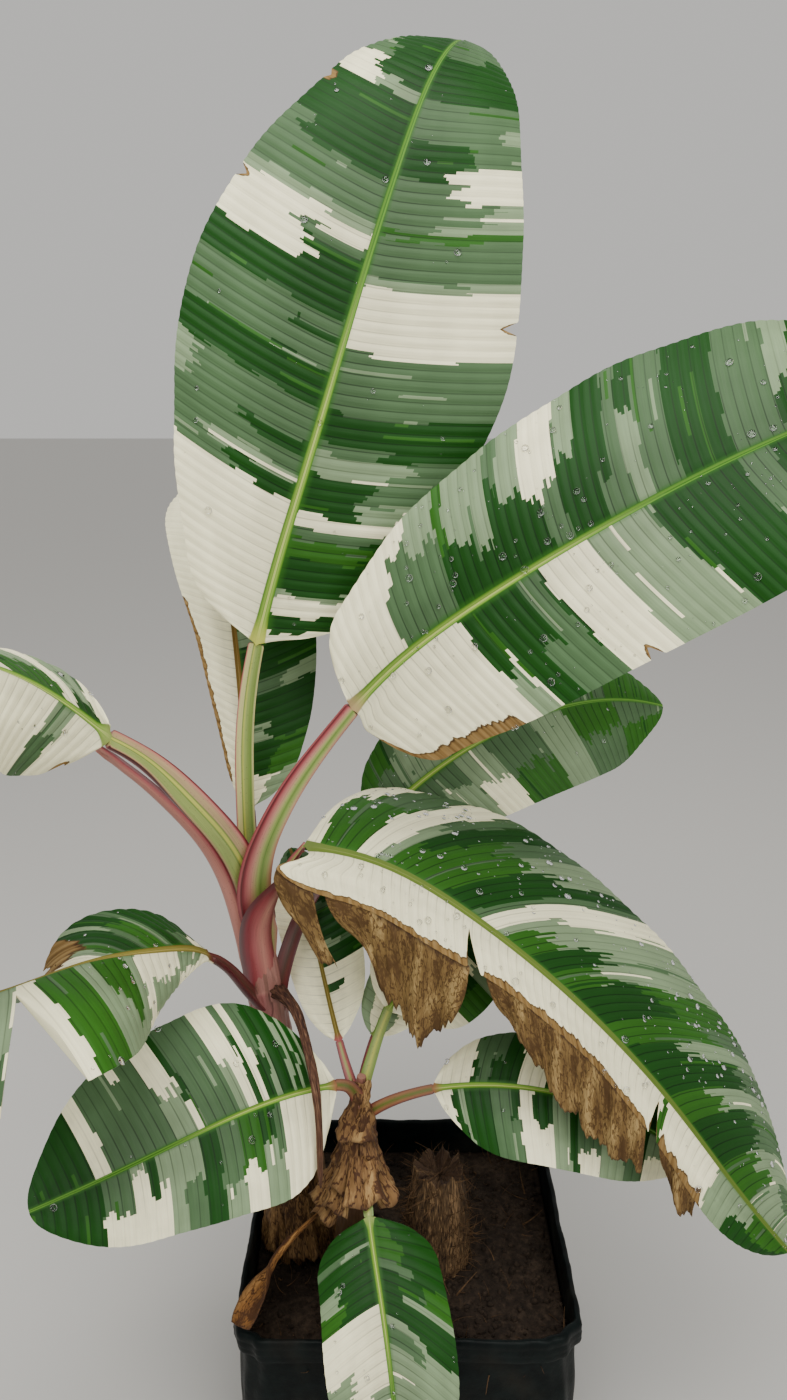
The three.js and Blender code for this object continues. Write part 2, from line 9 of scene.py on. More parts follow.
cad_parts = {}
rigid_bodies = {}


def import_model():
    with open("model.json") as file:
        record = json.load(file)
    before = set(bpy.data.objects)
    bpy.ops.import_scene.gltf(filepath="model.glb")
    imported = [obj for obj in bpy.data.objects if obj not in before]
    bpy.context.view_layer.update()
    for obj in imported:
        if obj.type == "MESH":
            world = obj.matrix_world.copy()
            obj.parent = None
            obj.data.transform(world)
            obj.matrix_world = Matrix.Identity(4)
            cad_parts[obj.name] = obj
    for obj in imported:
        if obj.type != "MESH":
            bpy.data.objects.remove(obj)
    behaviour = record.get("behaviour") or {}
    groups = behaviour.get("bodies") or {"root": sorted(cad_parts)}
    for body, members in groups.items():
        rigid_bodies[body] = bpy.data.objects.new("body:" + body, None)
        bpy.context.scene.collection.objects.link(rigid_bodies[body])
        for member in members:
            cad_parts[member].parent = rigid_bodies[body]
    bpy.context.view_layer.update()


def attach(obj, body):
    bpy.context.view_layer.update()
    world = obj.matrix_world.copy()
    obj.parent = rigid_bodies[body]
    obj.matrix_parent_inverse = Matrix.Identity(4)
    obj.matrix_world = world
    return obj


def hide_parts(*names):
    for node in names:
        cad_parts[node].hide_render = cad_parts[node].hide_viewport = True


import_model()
mm = 0.001


def clamp(x, low=0.0, high=1.0):
    return min(max(x, low), high)


def mix(a, b, f):
    return a + (b - a) * f


def ease(low, high, x):
    f = clamp((x - low) / (high - low))
    return f * f * (3 - 2 * f)


# A smooth value at share f of an evenly spaced list.
def through(values, f):
    last = len(values) - 1
    i = int(clamp(math.floor(f * last), 0, last - 1))
    x = f * last - i
    before, start = values[max(i - 1, 0)], values[i]
    end, after = values[i + 1], values[min(i + 2, last)]
    cubic = 3 * (start - end) + after - before
    return start + 0.5 * x * (end - before + x * (2 * before - 5 * start + 4 * end - after + x * cubic))


def pointing(heading, rise):
    level = math.cos(math.radians(rise))
    turn = math.radians(heading)
    return Vector((math.sin(turn) * level, math.cos(turn) * level, math.sin(math.radians(rise))))


# The middle line of a limb that leaves a point and turns through its headings and rises.
def route(start, line, steps=40):
    headings, rises = line["headings"], line["rises"]
    aheads = [pointing(through(headings, i / steps), through(rises, i / steps)) for i in range(steps + 1)]
    points = [Vector(start)]
    for i in range(steps):
        chord = (aheads[i] + aheads[i + 1]).normalized()
        points.append(points[-1] + chord * (line["length"] / steps))

    def along(f):
        i = int(clamp(math.floor(f * steps), 0, steps - 1))
        x = f * steps - i
        return points[i].lerp(points[i + 1], x), (aheads[i] * (1 - x) + aheads[i + 1] * x).normalized()

    return along


# A smooth line through a few points.
def curveThrough(points):
    columns = list(zip(*points))

    def along(f):
        step = 0.01
        point = Vector([through(column, f) for column in columns])
        before = Vector([through(column, max(f - step, 0)) for column in columns])
        after = Vector([through(column, min(f + step, 1)) for column in columns])
        return point, (after - before).normalized()

    return along


# The point, forward, upward and sideways directions of a leaf at share f.
def framed(path, faces, f):
    share = clamp(f)
    point, ahead = path(f)
    upward = pointing(mix(faces[0][0], faces[1][0], share), mix(faces[0][1], faces[1][1], share))
    upward = (upward - ahead * upward.dot(ahead)).normalized()
    return point, ahead, upward, ahead.cross(upward)


def wobble(x, y=0.0, seed=0.0):
    return noise.noise(Vector((x, y, seed)))


# A closed shell through rings of points. Each point has a UV and a map of three values for its material.
def shell(name, rings, uvs, maps=None, lifts=None, sharp=50):
    count, last = len(rings[0]), len(rings) - 1
    faces, corners = [], []
    wrapped = len(uvs[0]) > count
    for r in range(last):
        for k in range(count):
            n = (k + 1) % count
            a, b = r * count + k, r * count + n
            far = k + 1 if wrapped else n
            faces.append((a, b, b + count, a + count))
            corners += [uvs[r][k], uvs[r][far], uvs[r + 1][far], uvs[r + 1][k]]
    for k in range(count // 2 - 1):
        a, b, c, d = k, k + 1, count - 2 - k, count - 1 - k
        end = last * count
        faces.append((a, d, c, b))
        faces.append((end + a, end + b, end + c, end + d))
        corners += [uvs[0][i] for i in (a, d, c, b)] + [uvs[last][i] for i in (a, b, c, d)]
    mesh = bpy.data.meshes.new(name)
    mesh.from_pydata([point * mm for ring in rings for point in ring], [], faces)
    layer = mesh.uv_layers.new(name="veins")
    layer.data.foreach_set("uv", [value for corner in corners for value in corner])
    for label, values in (("leafMap", maps), ("lift", lifts)):
        if values:
            attribute = mesh.attributes.new(label, "FLOAT_VECTOR", "POINT")
            attribute.data.foreach_set("vector", [x for row in values for entry in row for x in entry])
    mesh.polygons.foreach_set("use_smooth", [True] * len(faces))
    if sharp:
        mesh.set_sharp_from_angle(angle=math.radians(sharp))
    mesh.update()
    return mesh


def addPiece(name, mesh, material, slot, nodes=()):
    piece = bpy.data.objects.new(name, mesh)
    bpy.context.scene.collection.objects.link(piece)
    if material:
        mesh.materials.clear()
        mesh.materials.append(material)
    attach(piece, "root")
    if nodes:
        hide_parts(*nodes)
    return piece


# Runs a node tree on a mesh, with its named inputs set, and returns the plain mesh that it makes.
def runTree(mesh, tree, values):
    holder = bpy.data.objects.new(tree.name, mesh)
    bpy.context.scene.collection.objects.link(holder)
    modifier = holder.modifiers.new(tree.name, "NODES")
    modifier.node_group = tree
    for item in tree.interface.items_tree:
        if item.in_out == "INPUT" and item.name in values:
            modifier[item.identifier] = values[item.name]
    evaluated = holder.evaluated_get(bpy.context.evaluated_depsgraph_get())
    made = bpy.data.meshes.new_from_object(evaluated)
    bpy.data.objects.remove(holder)
    return made


# A value inside a node tree. Plain arithmetic on it adds math nodes to the tree being built.
class Field:
    def __init__(self, socket):
        self.socket = socket

    def __abs__(self):
        return calc("ABSOLUTE", self)


# The outputs of a node, found by name or number.
class Fields:
    def __init__(self, outputs):
        self.outputs = outputs

    def __getitem__(self, key):
        return Field(self.outputs[key])


for symbol, operation in (("add", "ADD"), ("sub", "SUBTRACT"), ("mul", "MULTIPLY"), ("truediv", "DIVIDE"),
                          ("pow", "POWER"), ("gt", "GREATER_THAN"), ("lt", "LESS_THAN")):
    setattr(Field, f"__{symbol}__", lambda a, b, does=operation: calc(does, a, b))
for symbol, operation in (("radd", "ADD"), ("rsub", "SUBTRACT"), ("rmul", "MULTIPLY")):
    setattr(Field, f"__{symbol}__", lambda a, b, does=operation: calc(does, b, a))
current = {"tree": None}  # the tree being built


def plug(socket, value):
    if isinstance(value, Field):
        current["tree"].links.new(value.socket, socket)
    else:
        socket.default_value = value


def addNode(kind, inputs=None, **settings):
    made = current["tree"].nodes.new(kind)
    for key, value in settings.items():
        setattr(made, key, value)
    for key, value in (inputs or {}).items():
        plug(made.inputs[key], value)
    return made


def put(kind, inputs=None, **settings):
    return Fields(addNode(kind, inputs, **settings).outputs)


def calc(operation, a, b=0.0):
    return put("ShaderNodeMath", {0: a, 1: b}, operation=operation)[0]


# A smooth step from 0 to 1 as a value passes from one number to another.
def fadeIn(value, low, high):
    return put("ShaderNodeMapRange", {"Value": value, "From Min": low, "From Max": high},
               interpolation_type="SMOOTHSTEP")["Result"]


def blendColors(factor, a, b, how="MIX"):
    return put("ShaderNodeMix", {0: factor, 6: a, 7: b}, data_type="RGBA", blend_type=how)[2]


def join(x, y, z=0.0):
    return put("ShaderNodeCombineXYZ", {0: x, 1: y, 2: z})[0]


def parts(vector):
    return put("ShaderNodeSeparateXYZ", {0: vector})


def noiseAt(place, scale, detail, roughness=0.5):
    values = {"Vector": place, "Scale": scale, "Detail": detail, "Roughness": roughness}
    return put("ShaderNodeTexNoise", values)["Fac"]


# A mesh's own values in a geometry tree, and its map, its UV and its place in a material.
def named(label):
    return put("GeometryNodeInputNamedAttribute", {"Name": label}, data_type="FLOAT_VECTOR")[0]


def pieceMap():
    return put("ShaderNodeAttribute", attribute_name="leafMap")["Vector"]


def pieceUv():
    return put("ShaderNodeUVMap", uv_map="veins")[0]


def objectPlace():
    return put("ShaderNodeTexCoord")["Object"]


# A color ramp with (position, color) stops.
def ramp(value, stops, how="LINEAR"):
    made = addNode("ShaderNodeValToRGB", {0: value})
    made.color_ramp.interpolation = how
    elements = made.color_ramp.elements
    elements[0].position, elements[0].color = stops[0][0], (*stops[0][1], 1)
    elements.remove(elements[1])
    for position, color in stops[1:]:
        elements.new(position).color = (*color, 1)
    return Field(made.outputs["Color"])


floatIn, vectorIn, colorIn, geometryIn, materialIn = (
    f"NodeSocket{kind}" for kind in ("Float", "Vector", "Color", "Geometry", "Material"))


# A node group. An input is given as its kind of socket, or as a usual value that tells its kind.
def startGroup(name, inputs, outputs, kind="ShaderNodeTree"):
    tree = bpy.data.node_groups.new(name, kind)
    kinds = {float: floatIn, int: "NodeSocketInt", tuple: colorIn}
    for label, usual in inputs.items():
        socketType = kinds.get(type(usual), usual)
        socket = tree.interface.new_socket(label, in_out="INPUT", socket_type=socketType)
        if socketType != usual:
            socket.default_value = usual
    for label, socketType in outputs.items():
        tree.interface.new_socket(label, in_out="OUTPUT", socket_type=socketType)
    current["tree"] = tree
    return tree, put("NodeGroupInput"), addNode("NodeGroupOutput").inputs


surfaceOut = {"Color": colorIn, "Roughness": floatIn, "Height": floatIn}


def plugSurface(out, color, roughness, height):
    plug(out["Color"], color)
    plug(out["Roughness"], roughness)
    plug(out["Height"], height)


# Every geometry tree ends here: real geometry with its material.
def finishTree(out, geometry, material):
    real = put("GeometryNodeRealizeInstances", {"Geometry": geometry})[0]
    plug(out["Geometry"], put("GeometryNodeSetMaterial", {"Geometry": real, "Material": material})[0])


def useGroup(group, inputs):
    return put("ShaderNodeGroup", inputs, node_tree=group)


def startMaterial(name, **shaderValues):
    material = bpy.data.materials.new(name)
    material.use_nodes = True
    current["tree"] = material.node_tree
    shader = material.node_tree.nodes["Principled BSDF"].inputs
    for key, value in shaderValues.items():
        shader[key].default_value = value
    return material, shader


# Gives a shader the color, roughness and height of a surface.
def finishMaterial(shader, surface, strength, distance):
    plug(shader["Base Color"], surface["Color"])
    plug(shader["Roughness"], surface["Roughness"])
    bump = put("ShaderNodeBump", {"Height": surface["Height"], "Strength": strength, "Distance": distance})
    plug(shader["Normal"], bump["Normal"])


print("scene: shared node groups")

veinWork = {"fine": 0.0042, "coarse": 0.015, "reach": 0.13, "shift": 0.009, "streaks": 0.1}


# Cuts a blade into narrow strips along its veins, each with its own jog, so that every colour ends in steps.
def makeVeinStrips():
    tree, given, out = startGroup(
        "veinStrips", {"Veins": vectorIn, "Length": 0.5, "Seed": 0.0},
        dict.fromkeys(("Along", "Across", "Right", "Streak", "Plain"), floatIn))
    split = parts(given["Veins"])
    signed = split["X"] * 2.0 - 1.0
    right = signed > 0.0
    across = abs(signed)
    length = split["Y"] * given["Length"]
    seed = right * 17.3 + given["Seed"]

    def dice(size):
        index = calc("FLOOR", length / size)
        rolled = put("ShaderNodeTexWhiteNoise", {"Vector": join(index, seed)}, noise_dimensions="2D")
        return index, put("ShaderNodeSeparateColor", {0: rolled["Color"]})

    index, fine = dice(veinWork["fine"])
    coarse = dice(veinWork["coarse"])[1]
    jog = fine[0] + coarse[0] - 1.0
    jogged = jog * veinWork["reach"] + across
    cell = calc("FLOOR", jogged * 6.0)
    rolled = put("ShaderNodeTexWhiteNoise", {"Vector": join(cell, seed)}, noise_dimensions="2D")
    shift = (rolled["Value"] - 0.5) * veinWork["shift"]
    middle = (index + 0.5) * veinWork["fine"]
    plug(out["Along"], middle / given["Length"] + shift)
    plug(out["Across"], jogged)
    plug(out["Right"], right)
    plug(out["Plain"], across)
    near = across - fine[1]
    within = abs(near) < coarse[1] * 0.4
    rare = fine[2] < veinWork["streaks"]
    sign = (coarse[2] > 0.5) * 0.4 - 0.2
    plug(out["Streak"], within * rare * sign)
    return tree


# The tones of a blade: dark, green, grey, sage and cream. A band's ramp holds the levels of its inner and its
# outer tone, and where one gives way to the other.
toneColors = {
    "d": (0.006, 0.05, 0.004), "g": (0.022, 0.1, 0.008), "e": (0.062, 0.12, 0.052), "s": (0.185, 0.26, 0.145),
    "c": (0.86, 0.82, 0.56),
}
toneLevels = {"d": 0.1, "g": 0.3, "e": 0.5, "s": 0.7, "c": 0.9}
leafPaint = {
    # the midrib's colours from its middle to its edge, low and high on the blade; the pale yellowish stop
    # near the middle of the low one is a painted highlight
    "lowRib": [(0.0, (0.36, 0.46, 0.1)), (0.06, (0.5, 0.55, 0.17)), (0.12, (0.14, 0.28, 0.03)),
               (0.22, (0.26, 0.4, 0.07)), (0.4, (0.1, 0.23, 0.02)), (0.5, (0.04, 0.13, 0.01))],
    "highRib": [(0.0, (0.04, 0.15, 0.012)), (0.08, (0.06, 0.18, 0.02)), (0.2, (0.15, 0.31, 0.05)),
                (0.36, (0.09, 0.23, 0.03)), (0.5, (0.025, 0.1, 0.008))],
    "besideRib": (0.025, 0.11, 0.01, 1), "redRib": (0.2, 0.04, 0.02, 1), "ripeRib": (0.09, 0.13, 0.018, 1),
    "under": (0.33, 0.4, 0.31, 1),
    "dead": [(0.3, (0.09, 0.045, 0.014)), (0.5, (0.24, 0.145, 0.05)), (0.7, (0.34, 0.23, 0.1))],
    "deadRing": (0.035, 0.014, 0.008, 1),
}


def makeLeafTones():
    tree, given, out = startGroup(
        "leafTones",
        {"Band": colorIn, "Across": 0.0, "Streak": 0.0, "Veins": vectorIn, "Length": 0.5, "Folds": 40.0,
         "Map": vectorIn, "Plain": 0.5, "Foot": colorIn, "Red": 0.0, "Ripe": 0.0},
        surfaceOut)
    band = put("ShaderNodeSeparateColor", {0: given["Band"]})
    outer = given["Across"] > band[2]
    tone = (band[1] - band[0]) * outer + band[0]
    muddled = tone < 0.8  # the cream is the cleanest
    tone = given["Streak"] * muddled + tone
    stops = [(k * 0.2, toneColors[label]) for k, label in enumerate(toneLevels)]
    color = ramp(tone, stops, "CONSTANT")

    split = parts(given["Veins"])
    length = split["Y"] * given["Length"]
    along = join(split["X"] * 6.0, length * 420.0)
    fibres = noiseAt(along, 1.0, 3.0)
    soft = noiseAt(given["Veins"], 7.0, 2.0)
    light = (fibres * 0.36 + 0.8) * (soft * 0.4 + 0.82)
    # painted shade in the fold valleys: a thin dark line along each fold, deeper near the midrib and fainter
    # on the cream
    phase = calc("FRACT", split["Y"] * given["Folds"])
    line = fadeIn(abs(phase * 2.0 - 1.0), 0.8, 1.0)
    nearRib = 1.0 - fadeIn(given["Plain"], 0.0, 0.75)
    pale = fadeIn(tone, 0.6, 0.8)
    deep = nearRib * 0.3 - pale * 0.3 + 0.42
    light = light * (1.04 - line * deep) * (1.1 - nearRib * 0.22)
    color = blendColors(1.0, color, join(light, light, light), "MULTIPLY")

    # the midrib, with a pale line along its channel that is a painted highlight of the channel's lit side
    place = parts(given["Map"])
    ribShare = place["X"]
    beside = (1.0 - fadeIn(ribShare, 1.0, 2.4)) * (0.6 - pale * 0.5)
    color = blendColors(beside, color, leafPaint["besideRib"])
    lowRib, highRib = (ramp(ribShare * 0.5, leafPaint[label]) for label in ("lowRib", "highRib"))
    ribColor = blendColors(fadeIn(split["Y"], 0.3, 0.62), lowRib, highRib)
    ribColor = blendColors(given["Red"], ribColor, leafPaint["redRib"])
    ribColor = blendColors(given["Ripe"], ribColor, leafPaint["ripeRib"])
    ribColor = blendColors(fadeIn(split["Y"], 0.05, 0.0), ribColor, given["Foot"])
    color = blendColors(1.0 - fadeIn(ribShare, 0.92, 1.12), color, ribColor)

    # the underside is paler and bluish
    color = blendColors(place["Z"] * 0.42, color, leafPaint["under"])

    # dead margins
    rough = noiseAt(along, 0.35, 4.0)
    torn = rough * 0.5 + place["Y"]
    dead = fadeIn(torn, 0.74, 0.78)
    ring = dead * (1.0 - fadeIn(torn, 0.79, 0.9))
    brown = blendColors(ring * 0.8, ramp(rough, leafPaint["dead"]), leafPaint["deadRing"])
    color = blendColors(dead, color, brown)
    plugSurface(out, color, dead * 0.4 + fibres * 0.12 + 0.4, fibres + dead * rough * 3.0)
    return tree


veinStrips = makeVeinStrips()
leafTones = makeLeafTones()


stalkPaint = {
    "darkRed": (0.07, 0.006, 0.01), "red": (0.19, 0.016, 0.026), "pink": (0.34, 0.085, 0.088),
    "rose": (0.46, 0.19, 0.15), "beige": (0.41, 0.29, 0.145), "paleGreen": (0.26, 0.33, 0.09),
    "green": (0.12, 0.21, 0.035), "yellow": (0.44, 0.46, 0.085), "cream": (0.52, 0.5, 0.2),
    "brown": (0.06, 0.028, 0.016), "olive": (0.09, 0.13, 0.02), "wine": (0.11, 0.025, 0.022),
    "tan": (0.26, 0.115, 0.055),
}
limbPaint = {
    "specks": (0.05, 0.02, 0.012, 1), "foot": (0.27, 0.055, 0.06, 1), "sheath": (0.52, 0.3, 0.22, 1),
    "margin": (0.06, 0.012, 0.012, 1), "stain": (0.07, 0.035, 0.018, 1),
}


# The stops of a half's bands, which each give an end, one or two tones and where they part.
def bandStops(bands):
    start, stops = 0.0, []
    for band in bands.split(", "):
        end, tones, *parting = band.split()
        where = float(parting[0]) / 100 if parting else 1
        stops.append((start, (toneLevels[tones[0]], toneLevels[tones[-1]], where)))
        start = float(end) / 100
    return stops


# A blade's material: two ramps hold the bands of its left and right halves.
def makeBladeMaterial(leaf, seed):
    name, blade = leaf["name"], leaf["blade"]
    material, shader = startMaterial(f"{name}_variegation", **{"Specular IOR Level": 0.14})
    veins = pieceUv()
    leafMap = pieceMap()
    length = blade["length"] * mm
    strips = useGroup(veinStrips, {"Veins": veins, "Length": length, "Seed": float(seed)})
    foot = stalkPaint[leaf.get("foot", "paleGreen")]
    halves = [ramp(strips["Along"], bandStops(leaf[half]), "CONSTANT") for half in ("left", "right")]
    band = blendColors(strips["Right"], *halves)
    tones = useGroup(leafTones, {"Band": band, "Across": strips["Across"], "Streak": strips["Streak"],
                                 "Veins": veins, "Length": length, "Folds": float(foldCount(blade)),
                                 "Map": leafMap, "Plain": strips["Plain"], "Foot": (*foot, 1),
                                 "Red": leaf.get("red", 0.0), "Ripe": leaf.get("ripe", 0.0)})
    finishMaterial(shader, tones, 0.35, 0.0006)
    return material


foldSpacing = 14.0


def foldCount(blade):
    return round(blade["length"] / foldSpacing)


print("scene: leaf blades")

